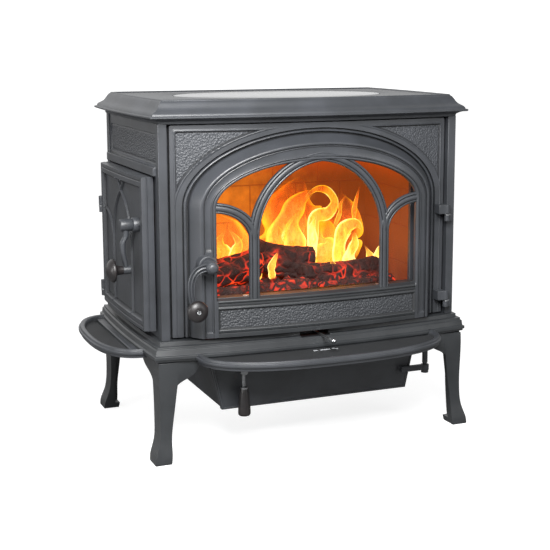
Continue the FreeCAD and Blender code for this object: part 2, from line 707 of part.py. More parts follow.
def air_slide():
    """Flat slide over the air inlet."""
    return box(-42, 42, -212, -192, LEVER_Z - 2.5, LEVER_Z + 1.5)


def air_lever():
    """Lever rod out over the front lip."""
    return rod(LEVER_R, (0, -212, LEVER_Z), (0, LEVER_Y + 4, LEVER_Z))


def air_knob():
    """Ball on the lever."""
    return ball(5.5, (0, LEVER_Y, LEVER_Z)).cut(rod(LEVER_R, (0, -260, LEVER_Z), (0, LEVER_Y + 4, LEVER_Z)))


# ---- ash box ----
def ash_trough(wall, y0, y1, z0):
    """Solid trough shape with sloping sides, shrunk by `wall` on its sides."""
    bottom = ASH_BOTTOM_X - wall
    top = ASH_TOP_X - wall
    outline = [(-bottom, y0, z0), (bottom, y0, z0), (top, y0, BASE_Z0), (-top, y0, BASE_Z0)]
    return prism(outline, (0, y1 - y0, 0))


def ash_housing():
    """Open-fronted trough hung under the base."""
    outer = ash_trough(0, ASH_Y0, ASH_Y1, ASH_Z0)
    inner = ash_trough(ASH_WALL, ASH_Y0 - 5, ASH_Y1 - ASH_WALL, ASH_Z0 + ASH_WALL)
    return outer.cut(inner)


def ash_pan():
    """Loose pan in the housing, with a front pull edge."""
    z0 = ASH_Z0 + ASH_WALL
    outer = box(-190, 190, ASH_Y0 + 8, ASH_Y1 - 10, z0, z0 + 66)
    pan = outer.cut(box(-187, 187, ASH_Y0 + 11, ASH_Y1 - 13, z0 + 3, z0 + 70))
    pull = box(-40, 40, ASH_Y0 + 3, ASH_Y0 + 8, z0 + 58, z0 + 64)
    return joined([pan, pull])


def ash_door():
    """Ash door: sloping-sided plate with a turned edge, and its hinge arm with an eye."""
    y0 = ASH_Y0 - 10
    top_x = ASH_TOP_X - 4
    bottom_x = ASH_BOTTOM_X + 2
    top_z = BASE_Z0 - 6
    outline = [(-bottom_x, y0, ASH_Z0 - 2), (bottom_x, y0, ASH_Z0 - 2), (top_x, y0, top_z), (-top_x, y0, top_z)]
    plate = prism(outline, (0, 9.5, 0))
    back = box(-bottom_x + 12, bottom_x - 12, y0 + 5, y0 + 12, ASH_Z0 + 10, top_z - 10)
    arm = box(196, ASH_PIN_X, ASH_PIN_Y - 4, ASH_PIN_Y + 4, 134, 146)
    root = box(196, 216, ASH_PIN_Y - 4, y0 + 2, 134, 146)
    eye = Part.makeCylinder(9, 12, Vec(ASH_PIN_X, ASH_PIN_Y, 134))
    bore = Part.makeCylinder(5 + RUN, 14, Vec(ASH_PIN_X, ASH_PIN_Y, 133))
    shaft_bore = rod(4 + RUN, (ASH_GRIP_X, -240, ASH_GRIP_Z), (ASH_GRIP_X, -190, ASH_GRIP_Z))
    return joined([plate.cut(back), arm, root, eye]).cut(bore).cut(shaft_bore)


def ash_hinge_pin():
    """Pin hung from the base, with a collar below the door's eye."""
    pin = Part.makeCylinder(5, BASE_Z0 - 128, Vec(ASH_PIN_X, ASH_PIN_Y, 128))
    collar = Part.makeCylinder(8, 5, Vec(ASH_PIN_X, ASH_PIN_Y, 128))
    collar_up = Part.makeCylinder(6, BASE_Z0 - 150, Vec(ASH_PIN_X, ASH_PIN_Y, 150))
    return joined([pin, collar, collar_up])


def ash_handle_shaft():
    """Latch shaft, cross head and the hanging stem."""
    x, z = ASH_GRIP_X, ASH_GRIP_Z
    shaft = rod(4, (x, -228, z), (x, ASH_Y0 + 4, z))
    head = rod(8, (x, -238, z), (x, ASH_Y0 - 10 - GAP, z))
    stem = rod(4, (x, -231.4, z), (x, -233, z - 32))
    return joined([shaft, head, stem])


def ash_grip():
    """Tapered grip on the stem."""
    x, z = ASH_GRIP_X, ASH_GRIP_Z
    return cone(7.5, 13, (x, -233, z - 32), (x, -236, z - 92))


def ash_cam():
    """Cam behind the ash door."""
    x, z = ASH_GRIP_X, ASH_GRIP_Z
    return box(x - 7, x + 7, ASH_Y0 + 4, ASH_Y0 + 7, z - 7, z + 14)


# ---- legs ----
def curve_face(points_a, points_b, axis):
    """Face between two smooth lines that share their end heights; axis names the plane's normal."""
    lines = []
    for points in (points_a, points_b):
        if axis == "y":
            verts = [Vec(u, 0, z) for u, z in points]
        else:
            verts = [Vec(0, u, z) for u, z in points]
        curve = Part.BSplineCurve()
        curve.interpolate(verts)
        lines.append((curve.toShape(), verts))
    foot = Part.makeLine(lines[0][1][0], lines[1][1][0])
    head = Part.makeLine(lines[0][1][-1], lines[1][1][-1])
    return Part.Face(Part.Wire(Part.__sortEdges__([lines[0][0], head, lines[1][0], foot])))


def front_left_leg():
    """Cabriole leg: angle-section tapering shank, flared toe and two curved brackets under the base."""
    z1 = BASE_Z0
    x, y = -LEG_X, -LEG_Y
    outer_x = [(x - 14, 0), (x - 13, 14), (x - 5, 38), (x, 75), (x, 140), (x, z1)]
    inner_x = [(x + 20, 0), (x + 22, 14), (x + 23, 46), (x + 29, 96), (x + 36, 150), (x + 44, z1)]
    outer_y = [(y - 10, 0), (y - 9, 14), (y - 4, 38), (y, 75), (y, 140), (y, z1)]
    inner_y = [(y + 32, 0), (y + 35, 14), (y + 40, 46), (y + 46, 96), (y + 47, 150), (y + 52, z1)]
    front = curve_face(outer_x, inner_x, "y").extrude(Vec(0, 400, 0))
    front.translate(Vec(0, y - 60, 0))
    side = curve_face(outer_y, inner_y, "x").extrude(Vec(400, 0, 0))
    side.translate(Vec(x - 60, 0, 0))
    block = front.common(side)
    hollow = box(x + LEG_WALL, 0, y + LEG_WALL, 0, LEG_PAD, LEG_HEAD)
    shank = block.cut(hollow)
    knee_x = [(x + 30, 140), (x + 38, 161), (x + 57, 172), (x + 72, 181), (x + 81, 194), (x + 84, z1)]
    base_x = [(x + 10, 140), (x + 10, 165), (x + 10, z1)]
    flange_x = curve_face(base_x, knee_x, "y").extrude(Vec(0, LEG_FLANGE, 0))
    flange_x.translate(Vec(0, y, 0))
    knee_y = [(y + 44, 140), (y + 50, 163), (y + 84, 178), (y + 118, 190), (y + 128, z1)]
    base_y = [(y + 10, 140), (y + 10, 165), (y + 10, z1)]
    flange_y = curve_face(base_y, knee_y, "x").extrude(Vec(LEG_FLANGE, 0, 0))
    flange_y.translate(Vec(x, 0, 0))
    return joined([shank, flange_x, flange_y])


def placed_leg(side_x, side_y):
    """The front left leg mirrored to another corner."""
    leg = front_left_leg()
    if side_x > 0:
        leg = leg.mirror(Vec(0, 0, 0), Vec(1, 0, 0))
    if side_y > 0:
        leg = leg.mirror(Vec(0, 0, 0), Vec(0, 1, 0))
    return leg


def leg_bolts():
    """One bolt per leg, in the top of each shank."""
    bolts = []
    for side_x in (-1, 1):
        for side_y in (-1, 1):
            x = side_x * (LEG_X - 22)
            y = side_y * (LEG_Y - 26)
            bolts.append(Part.makeCylinder(7, 6, Vec(x, y, BASE_Z0)))
    return Part.makeCompound(bolts)


def build():
    """Make every sub-part and write its STEP file."""
    os.makedirs("parts", exist_ok=True)
    save("top_plate", top_plate())
    save("oval_cover", oval_disc(0.5, HEIGHT - 6))
    save("base_plate", base_plate())
    for name, side_x, side_y in (("front_left", -1, -1), ("front_right", 1, -1),
                                 ("rear_left", -1, 1), ("rear_right", 1, 1)):
        save("corner_post_" + name, corner_post(side_x, side_y))
        save("leg_" + name, placed_leg(side_x, side_y))
    save("side_panel_right", side_panel())
    save("side_panel_left", loading_side())
    save("rear_plate", rear_plate())
    save("front_frame", front_frame())
    save("firebox_floor", firebox_floor())
    save("grate", grate())
    save("burn_plate_left", burn_plate_left())
    save("burn_plate_right", box(298, 306, -160, 176, BODY_Z0 + 9, FIREBOX_Z1))
    save("burn_plate_rear", box(-298, 298, 168, 176, BODY_Z0 + 9, FIREBOX_Z1))
    save("baffle", baffle())
    save("air_manifold", air_manifold())
    save("flue_collar", flue_collar())
    save("flue_bolts", flue_bolts())
    save("heat_shield", heat_shield())
    save("tie_rods", tie_rods())
    save("front_door_casting", front_door_casting())
    save("front_glass", front_glass())
    save("front_gasket", front_gasket())
    save("glass_clips", glass_clips())
    save("front_hinge_lugs", front_lugs())
    save("front_knuckles", front_knuckles())
    save("front_escutcheon", front_escutcheon())
    save("front_handle_arm", front_handle_arm())
    save("front_knob", front_knob())
    save("front_knob_screw", front_knob_screw())
    save("front_latch_cam", front_latch())
    save("side_door_casting", side_door_casting())
    save("side_door_liner", side_door_liner())
    save("side_gasket", side_gasket())
    save("side_hinge_lugs", side_lugs())
    save("side_knuckles", side_knuckles())
    save("side_escutcheon", side_escutcheon())
    save("side_handle_crank", side_handle_crank())
    save("side_knob", side_knob())
    save("side_latch_cam", side_latch())
    save("front_ash_lip", front_lip())
    save("side_ash_lip", side_lip())
    save("air_slide", air_slide())
    save("air_lever", air_lever())
    save("air_lever_ball", air_knob())
    save("ash_housing", ash_housing())
    save("ash_pan", ash_pan())
    save("ash_door", ash_door())
    save("ash_hinge_pin", ash_hinge_pin())
    save("ash_handle_shaft", ash_handle_shaft())
    save("ash_grip", ash_grip())
    save("ash_latch_cam", ash_cam())
    save("leg_bolts", leg_bolts())


build()
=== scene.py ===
"""Wood burning stove: the cast shells, mouldings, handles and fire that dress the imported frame.

Shapes are worked out in millimetres about the middle of the body: X to the stove's right, -Y out of
the front door, Z up from the floor. Each finished mesh is then moved into the frame, in metres.
"""
import sys

import logging
import math
from dataclasses import dataclass, field
from enum import Enum
from functools import lru_cache
from typing import Any, Optional, Sequence, Union

import bmesh
import bpy
import numpy as np
from mathutils import Euler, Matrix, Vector


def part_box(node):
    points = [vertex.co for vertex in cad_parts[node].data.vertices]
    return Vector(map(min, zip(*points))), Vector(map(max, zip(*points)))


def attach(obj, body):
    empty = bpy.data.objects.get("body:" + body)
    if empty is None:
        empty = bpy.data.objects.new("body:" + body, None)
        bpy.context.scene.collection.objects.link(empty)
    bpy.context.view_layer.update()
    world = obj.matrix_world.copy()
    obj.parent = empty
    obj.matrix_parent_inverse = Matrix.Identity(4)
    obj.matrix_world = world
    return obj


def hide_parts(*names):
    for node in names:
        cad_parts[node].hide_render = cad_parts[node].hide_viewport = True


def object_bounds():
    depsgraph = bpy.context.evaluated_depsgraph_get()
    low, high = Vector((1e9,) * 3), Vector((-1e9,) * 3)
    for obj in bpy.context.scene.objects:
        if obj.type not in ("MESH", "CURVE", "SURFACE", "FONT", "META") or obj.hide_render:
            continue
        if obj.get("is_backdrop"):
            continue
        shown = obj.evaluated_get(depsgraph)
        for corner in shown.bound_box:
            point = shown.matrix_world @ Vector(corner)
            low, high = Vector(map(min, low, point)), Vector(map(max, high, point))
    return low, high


LOG = logging.getLogger("stove")
Array = np.ndarray
Number = Union[float, "Term"]
Colour = tuple[float, float, float, float]

# Where the front arch leaves its uprights, and the arc of the bowed front door.
SPRING_Z = 515.0
DOOR_RADIUS = 1682.8
DOOR_MIDDLE_Y = 1457.8

BARE = "bare_cast_iron"
PAINTED = "painted_cast_iron"
WHITE: Colour = (1.0, 1.0, 1.0, 1.0)


class Body(Enum):
    """The frame's bodies that pieces ride on."""

    STOVE = "stove_body"
    FRONT_DOOR = "front_door"
    FRONT_HANDLE = "front_handle"
    SIDE_DOOR = "side_door"
    SIDE_HANDLE = "side_handle"
    ASH_DOOR = "ash_door"
    ASH_HANDLE = "ash_handle"
    AIR = "air_control"


class Axis(Enum):
    """The direction in which a turned piece points."""

    FORWARD = (0.0, -1.0, 0.0)
    LEFT = (-1.0, 0.0, 0.0)
    UP = (0.0, 0.0, 1.0)


# ---------------------------------------------------------------- shader maths
class Term:
    """A number socket on which Python arithmetic adds Math nodes."""

    def __init__(self, graph: "Graph", socket: Any) -> None:
        """Wrap `socket` of `graph`."""
        self.graph = graph
        self.socket = socket

    def _with(self, operation: str, first: Number, second: Number = 0.0) -> "Term":
        """Return the Math node that joins two values by `operation`."""
        node = self.graph.node("ShaderNodeMath", {"operation": operation}, {0: first, 1: second})
        return Term(self.graph, node.outputs[0])

    def __add__(self, other: Number) -> "Term":
        """Sum."""
        return self._with("ADD", self, other)

    __radd__ = __add__

    def __mul__(self, other: Number) -> "Term":
        """Product."""
        return self._with("MULTIPLY", self, other)

    __rmul__ = __mul__

    def __sub__(self, other: Number) -> "Term":
        """Difference."""
        return self._with("SUBTRACT", self, other)

    def __rsub__(self, other: Number) -> "Term":
        """Difference, with the number first."""
        return self._with("SUBTRACT", other, self)

    def maximum(self, other: Number) -> "Term":
        """Larger of two values."""
        return self._with("MAXIMUM", self, other)

    def step(self, low: float, high: float) -> "Term":
        """Smooth rise from 0 at `low` to 1 at `high`."""
        node = self.graph.node(
            "ShaderNodeMapRange",
            {"interpolation_type": "SMOOTHSTEP"},
            {"Value": self, "From Min": low, "From Max": high},
        )
        return Term(self.graph, node.outputs["Result"])


def add_node(tree: Any, kind: str, settings: Optional[dict[str, Any]] = None,
             inputs: Optional[dict[Any, Any]] = None) -> Any:
    """Add a node to a tree.

    Args:
        tree: the node tree.
        kind: the node's type.
        settings: its properties, set first; "stops" fills a colour ramp.
        inputs: values or links by socket name or number.

    Returns:
        The node.
    """
    node = tree.nodes.new(kind)
    for key, value in (settings or {}).items():
        if key == "stops":
            ramp = node.color_ramp.elements
            while len(ramp) < len(value):
                ramp.new(0.5)
            for element, (position, colour) in zip(ramp, value):
                element.position = position
                element.color = colour
        else:
            setattr(node, key, value)
    for key, value in (inputs or {}).items():
        if isinstance(value, Term):
            value = value.socket
        if isinstance(value, bpy.types.NodeSocket):
            tree.links.new(value, node.inputs[key])
        else:
            node.inputs[key].default_value = value
    return node


class Graph:
    """One material's node tree."""

    def __init__(self, name: str) -> None:
        """Start an empty material called `name`."""
        self.material = bpy.data.materials.new(name)
        self.material.use_nodes = True
        self.tree = self.material.node_tree
        self.tree.nodes.clear()
        self.out = self.tree.nodes.new("ShaderNodeOutputMaterial")
        self.point = self.node("ShaderNodeTexCoord").outputs["Object"]

    def node(self, kind: str, settings: Optional[dict[str, Any]] = None,
             inputs: Optional[dict[Any, Any]] = None) -> Any:
        """Add a node to the material, as `add_node` does."""
        return add_node(self.tree, kind, settings, inputs)

    def placed(self, scale: Sequence[float]) -> Any:
        """Object coordinates stretched by `scale`."""
        return self.node("ShaderNodeMapping", None, {"Vector": self.point, "Scale": tuple(scale)}).outputs[0]

    def noise(self, scale: float, detail: float = 4.0, rough: float = 0.55, vector: Any = None) -> Term:
        """Fractal noise of `scale` cells a metre."""
        inputs = {"Vector": vector or self.point, "Scale": scale, "Detail": detail, "Roughness": rough}
        return Term(self, self.node("ShaderNodeTexNoise", None, inputs).outputs["Fac"])

    def cells(self, scale: float, feature: str = "F1", vector: Any = None) -> Term:
        """Distance in a cell pattern of `scale` cells a metre."""
        inputs = {"Vector": vector or self.point, "Scale": scale}
        return Term(self, self.node("ShaderNodeTexVoronoi", {"feature": feature}, inputs).outputs["Distance"])

    def attribute(self, name: str) -> Term:
        """A number stored on the mesh's points."""
        return Term(self, self.node("ShaderNodeAttribute", {"attribute_name": name}).outputs["Fac"])

    def axis(self, which: str, vector: Any = None) -> Term:
        """One coordinate of the point, in metres."""
        node = self.node("ShaderNodeSeparateXYZ", None, {0: vector or self.point})
        return Term(self, node.outputs[which])

    def ramp(self, value: Term, stops: Sequence[tuple[float, Colour]]) -> Any:
        """Colour read from `stops` at `value`."""
        return self.node("ShaderNodeValToRGB", {"stops": stops}, {"Fac": value}).outputs["Color"]

    def blend(self, amount: Number, first: Any, second: Any) -> Any:
        """Colour `first` where amount is 0 and `second` where it is 1."""
        node = self.node("ShaderNodeMix", {"data_type": "RGBA"}, {0: amount, 6: first, 7: second})
        return node.outputs[2]

    def bump(self, height: Term, depth: float, under: Any = None) -> Any:
        """Normal of a relief whose height 0..1 stands for `depth` metres."""
        inputs = {"Height": height, "Distance": depth, "Strength": 1.0}
        if under is not None:
            inputs["Normal"] = under
        return self.node("ShaderNodeBump", None, inputs).outputs["Normal"]

    def principled(self, inputs: dict[str, Any]) -> bpy.types.Material:
        """Close the tree with one Principled shader and return the material."""
        shader = self.node("ShaderNodeBsdfPrincipled", None, inputs)
        self.tree.links.new(shader.outputs[0], self.out.inputs[0])
        return self.material


def grey(red: float, green: float, blue: float) -> Colour:
    """Linear colour of display values from 0 to 255."""
    def linear(value: float) -> float:
        """One channel, by the display curve."""
        v = value / 255.0
        return v / 12.92 if v <= 0.04045 else ((v + 0.055) / 1.055) ** 2.4
    return (linear(red), linear(green), linear(blue), 1.0)


# ---------------------------------------------------------------- finishes
@dataclass(frozen=True)
class StovePaint:
    """Matt stove paint over cast iron, with a fine skin, cloudy tone and rubbed patches."""

    name: str = "stove_paint"
    dark: Colour = grey(42, 44, 47)
    light: Colour = grey(50, 52, 56)
    rough: float = 0.40
    coat: float = 0.0
    grain: float = 0.00012

    def make(self) -> bpy.types.Material:
        """Return the material; `pebble` on the mesh deepens its relief and lightens its tone, most on the pebble
        tops, as painted highlight, and `groove` darkens it as painted shade.
        """
        graph = Graph(self.name)
        cloud = graph.noise(14.0, 3.0)
        fine = graph.noise(650.0, 3.0, 0.6)
        rubbed = graph.noise(38.0, 5.0, 0.65).step(0.56, 0.72)
        pebble = graph.attribute("pebble")
        groove = graph.attribute("groove")
        stones = graph.cells(250.0) * 0.9 + graph.noise(300.0, 4.0, 0.6) * 0.5
        tone = graph.blend(cloud.step(0.3, 0.7), self.dark, self.light)
        # Painted highlight: pebbled fields are lightened, most on the raised pebble tops.
        tone = graph.blend(pebble * 0.4, tone, grey(58, 60, 64))
        tone = graph.blend(pebble * (0.62 - stones).maximum(0.0), tone, grey(68, 71, 75))
        # Painted shade: `groove` darkens recesses, gaps between parts and sunk floors towards near black.
        tone = graph.blend(groove * (0.75 + 0.25 * rubbed), tone, grey(10, 11, 12))
        rough = self.rough + 0.10 * fine - 0.06 * rubbed + 0.08 * pebble + 0.3 * groove
        skin = graph.bump(fine, self.grain)
        relief = graph.bump((1.0 - stones) * pebble, 0.0019, skin)
        return graph.principled({
            "Base Color": tone, "Roughness": rough, "Normal": relief, "Specular IOR Level": 0.5,
            "Coat Weight": self.coat, "Coat Roughness": 0.2,
        })


# Painted shade: a darker copy of the stove paint for the legs, base plate and lower door panel, which stand lower
# and catch less light.
SHADED_LOWER_PAINT = StovePaint("shaded_lower_paint", grey(33, 35, 37), grey(40, 42, 44))


@dataclass(frozen=True)
class SootyIron:
    """Bare iron inside the stove, dull and sooty with a rusty bloom."""

    name: str = "sooty_iron"

    def make(self) -> bpy.types.Material:
        """Return the material."""
        graph = Graph(self.name)
        soot_and_painted_shade = graph.noise(22.0, 6.0, 0.6)
        scale = graph.noise(300.0, 4.0)
        tone = graph.blend(soot_and_painted_shade.step(0.42, 0.7), grey(26, 24, 23), grey(66, 52, 44))
        return graph.principled({
            "Base Color": tone,
            "Roughness": 0.72 + 0.2 * scale,
            "Normal": graph.bump(scale, 0.0004),
        })


@dataclass(frozen=True)
class GlowingBrick:
    """Lining plates lit by the fire: blocks in courses, orange on the left, dark below and redder above."""

    name: str = "glowing_brick"
    hot: Colour = (1.0, 0.27, 0.018, 1.0)
    cool: Colour = (0.24, 0.050, 0.008, 1.0)

    def make(self) -> bpy.types.Material:
        """Return the material."""
        graph = Graph(self.name)
        x = graph.axis("X")
        z = graph.axis("Z")
        flat = graph.node("ShaderNodeCombineXYZ", None, {0: x + graph.axis("Y"), 1: z}).outputs[0]
        course = graph.node("ShaderNodeTexBrick", None, {
            "Vector": flat, "Scale": 1.0, "Mortar Size": 0.002, "Mortar Smooth": 0.4,
            "Brick Width": 0.115, "Row Height": 0.085,
        })
        joint = Term(graph, course.outputs["Fac"])
        mottled = graph.noise(24.0, 5.0, 0.6)
        warmth = (x * -2.2 + 0.60 + (mottled - 0.5) * 0.9).step(0.1, 1.0)
        glow = graph.blend(warmth, self.cool, self.hot)
        glow = graph.blend(joint * 0.55, glow, (0.20, 0.035, 0.008, 1.0))
        glow = graph.blend((z * -8.0 + 3.3).step(0.0, 1.0) * 0.8, glow, (0.10, 0.010, 0.002, 1.0))
        glow = graph.blend((z * 14.0 - 7.2).step(0.0, 1.0) * 0.8, glow, (0.74, 0.085, 0.006, 1.0))
        return graph.principled({
            "Base Color": graph.blend(mottled, grey(84, 42, 22), grey(112, 62, 36)),
            "Roughness": 0.8 + 0.1 * mottled,
            "Emission Color": glow,
            "Emission Strength": 0.85,
            "Normal": graph.bump(graph.noise(240.0, 4.0) - joint, 0.001),
        })


@dataclass(frozen=True)
class Moulded:
    """Dark phenolic knob: glossy, deep brown-black, with a faint swirl and fine scuffs."""

    name: str = "dark_knob"

    def make(self) -> bpy.types.Material:
        """Return the material."""
        graph = Graph(self.name)
        swirl = graph.noise(60.0, 5.0, 0.7)
        scuffs = graph.noise(900.0, 3.0)
        return graph.principled({
            "Base Color": graph.blend(swirl.step(0.35, 0.75), grey(14, 11, 12), grey(27, 22, 22)),
            "Roughness": 0.38 + 0.16 * scuffs,
            "Coat Weight": 0.08,
            "Coat Roughness": 0.16,
            "Normal": graph.bump(scuffs, 0.00003),
        })


@dataclass(frozen=True)
class BrightMetal:
    """Chromed or bright steel, with fine polishing marks."""

    name: str = "chrome"
    tint: Colour = grey(226, 228, 230)
    rough: float = 0.14

    def make(self) -> bpy.types.Material:
        """Return the material."""
        graph = Graph(self.name)
        marks = graph.noise(120.0, 6.0, 0.7, graph.placed((1.0, 1.0, 9.0)))
        return graph.principled({
            "Base Color": graph.blend(marks, self.tint, grey(176, 178, 180)),
            "Metallic": 1.0,
            "Roughness": self.rough + 0.16 * marks,
            "Normal": graph.bump(marks, 0.00003),
        })


@dataclass(frozen=True)
class Rope:
    """Braided graphite sealing rope, dark grey and darker in its hollows."""

    name: str = "gasket_rope"

    def make(self) -> bpy.types.Material:
        """Return the material."""
        graph = Graph(self.name)
        braid = graph.cells(520.0)
        return graph.principled({
            "Base Color": graph.blend(braid.step(0.1, 0.7), grey(16, 15, 14), grey(58, 55, 50)),
            "Roughness": 0.9 + 0.05 * braid,
            "Normal": graph.bump(braid, 0.001),
        })


@dataclass(frozen=True)
class StoveGlass:
    """Heat-proof pane: almost clear, with a faint, patchy smoke film."""

    name: str = "ceramic_glass"

    def make(self) -> bpy.types.Material:
        """Return the material."""
        graph = Graph(self.name)
        film = graph.noise(9.0, 4.0, 0.6)
        return graph.principled({
            "Base Color": grey(24, 14, 9),
            "Roughness": 0.04 + 0.05 * film,
            "Alpha": 0.02 + 0.05 * film.step(0.45, 0.8),
            "IOR": 1.5,
        })


@dataclass(frozen=True)
class Charred:
    """Burning wood: black checked char with red and orange heat in its cracks."""

    name: str = "charred_wood"
    heat: float = 1.0
    size: float = 55.0
    coals: bool = False

    def make(self) -> bpy.types.Material:
        """Return the material."""
        graph = Graph(self.name)
        bark = graph.noise(70.0, 6.0, 0.65)
        wander = graph.node("ShaderNodeTexNoise", None, {"Vector": graph.point, "Scale": 30.0}).outputs["Color"]
        warped = graph.node(
            "ShaderNodeVectorMath", {"operation": "MULTIPLY_ADD"},
            {0: wander, 1: (0.03, 0.03, 0.03), 2: graph.point},
        ).outputs[0]
        crack = graph.cells(self.size, "DISTANCE_TO_EDGE", warped)
        near = graph.noise(13.0, 3.0).step(0.34, 0.62)
        hot = (1.0 - crack.step(0.0, 0.16)) * near
        if self.coals:
            hot = crack.step(0.02, 0.26) * graph.noise(19.0, 4.0, 0.7).step(0.34, 0.62) * 0.52
        glow = graph.ramp(hot * self.heat + (bark - 0.5) * 0.5 * self.heat, (
            (0.0, (0.012, 0.0012, 0.0004, 1.0)),
            (0.22, (0.10, 0.006, 0.001, 1.0)),
            (0.5, (0.62, 0.022, 0.004, 1.0)),
            (0.8, (1.0, 0.11, 0.010, 1.0)),
            (1.0, (1.0, 0.42, 0.05, 1.0)),
        ))
        return graph.principled({
            "Base Color": graph.blend(bark, grey(9, 6, 5), grey(32, 15, 9)),
            "Roughness": 0.85 + 0.1 * bark,
            "Emission Color": glow,
            "Emission Strength": 1.5,
            "Normal": graph.bump(crack.step(0.0, 0.3) + bark * 0.6, 0.004),
        })


@dataclass(frozen=True)
class Flame:
    """Flame: pale yellow at its root and curled edges, orange and thin within and at its tip."""

    name: str = "flame"
    heat: float = 0.62
    body: float = 0.5

    def make(self) -> bpy.types.Material:
        """Return the material, which reads the mesh's `rise` from root to tip and `edge` across it."""
        graph = Graph(self.name)
        rise = graph.attribute("rise")
        veins = graph.noise(30.0, 4.0, 0.6, graph.placed((1.0, 1.0, 0.4)))
        curls = graph.noise(75.0, 5.0, 0.7, graph.placed((1.0, 1.0, 0.45)))
        rim = graph.attribute("edge").step(0.62, 0.97)
        heat = self.heat - rise * 0.34 + (veins - 0.5) * 1.5 + 0.42 * rim
        glow = graph.ramp(heat, (
            (0.0, (0.80, 0.055, 0.003, 1.0)),
            (0.28, (1.0, 0.13, 0.004, 1.0)),
            (0.55, (1.0, 0.30, 0.002, 1.0)),
            (0.82, (1.0, 0.62, 0.006, 1.0)),
            (1.0, (1.0, 0.94, 0.30, 1.0)),
        ))
        cover = self.body * (0.25 + 0.9 * curls.step(0.34, 0.66)) + 0.55 * rim
        return graph.principled({
            "Base Color": (0.9, 0.4, 0.1, 1.0),
            "Roughness": 1.0,
            "Emission Color": glow,
            "Emission Strength": 1.05,
            "Alpha": (1.0 - rise.step(0.55, 1.0)) * cover * rise.step(-0.02, 0.16),
            "Specular IOR Level": 0.0,
        })


@dataclass(frozen=True)
class PlainMark:
    """Pale grey scale mark filled into the casting."""

    name: str = "scale_mark"

    def make(self) -> bpy.types.Material:
        """Return the material."""
        graph = Graph(self.name)
        worn = graph.noise(500.0, 4.0)
        return graph.principled({
            "Base Color": graph.blend(worn, grey(120, 122, 125), grey(170, 172, 175)),
            "Roughness": 0.5 + 0.2 * worn,
        })


@lru_cache(maxsize=None)
def dressed(finish: Any) -> bpy.types.Material:
    """The finish's material, made once."""
    return finish.make()


# ---------------------------------------------------------------- mesh making
@lru_cache(maxsize=1)
def body_middle() -> tuple[float, float]:
    """Middle of the four corner posts in the frame, in metres."""
    low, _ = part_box("corner_post_front_left")
    _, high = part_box("corner_post_rear_right")
    return (low.x + high.x) / 2.0, (low.y + high.y) / 2.0


def finish_piece(obj: Any, body: Body, finish: Any, replaces: Sequence[str] = ()) -> Any:
    """Dress a piece, let it ride on its body and hide the CAD nodes that it stands for.

    Args:
        obj: the piece.
        body: the body it rides on.
        finish: its finish.
        replaces: CAD nodes that it stands for.

    Returns:
        The piece.
    """
    obj.data.materials.clear()
    obj.data.materials.append(dressed(finish))
    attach(obj, body.value)
    if replaces:
        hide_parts(*replaces)
    LOG.info("%s: %d faces on %s", obj.name, len(obj.data.polygons), body.value)
    return obj


def smooth_by_angle(mesh: Any, degrees: float) -> None:
    """Smooth shading, broken along edges sharper than `degrees`."""
    mesh.polygons.foreach_set("use_smooth", np.ones(len(mesh.polygons), bool))
    mesh.set_sharp_from_angle(angle=math.radians(degrees))


def linked(name: str, data: Any) -> Any:
    """A new object that holds `data`, put in the scene."""
    obj = bpy.data.objects.new(name, data)
    bpy.context.scene.collection.objects.link(obj)
    return obj


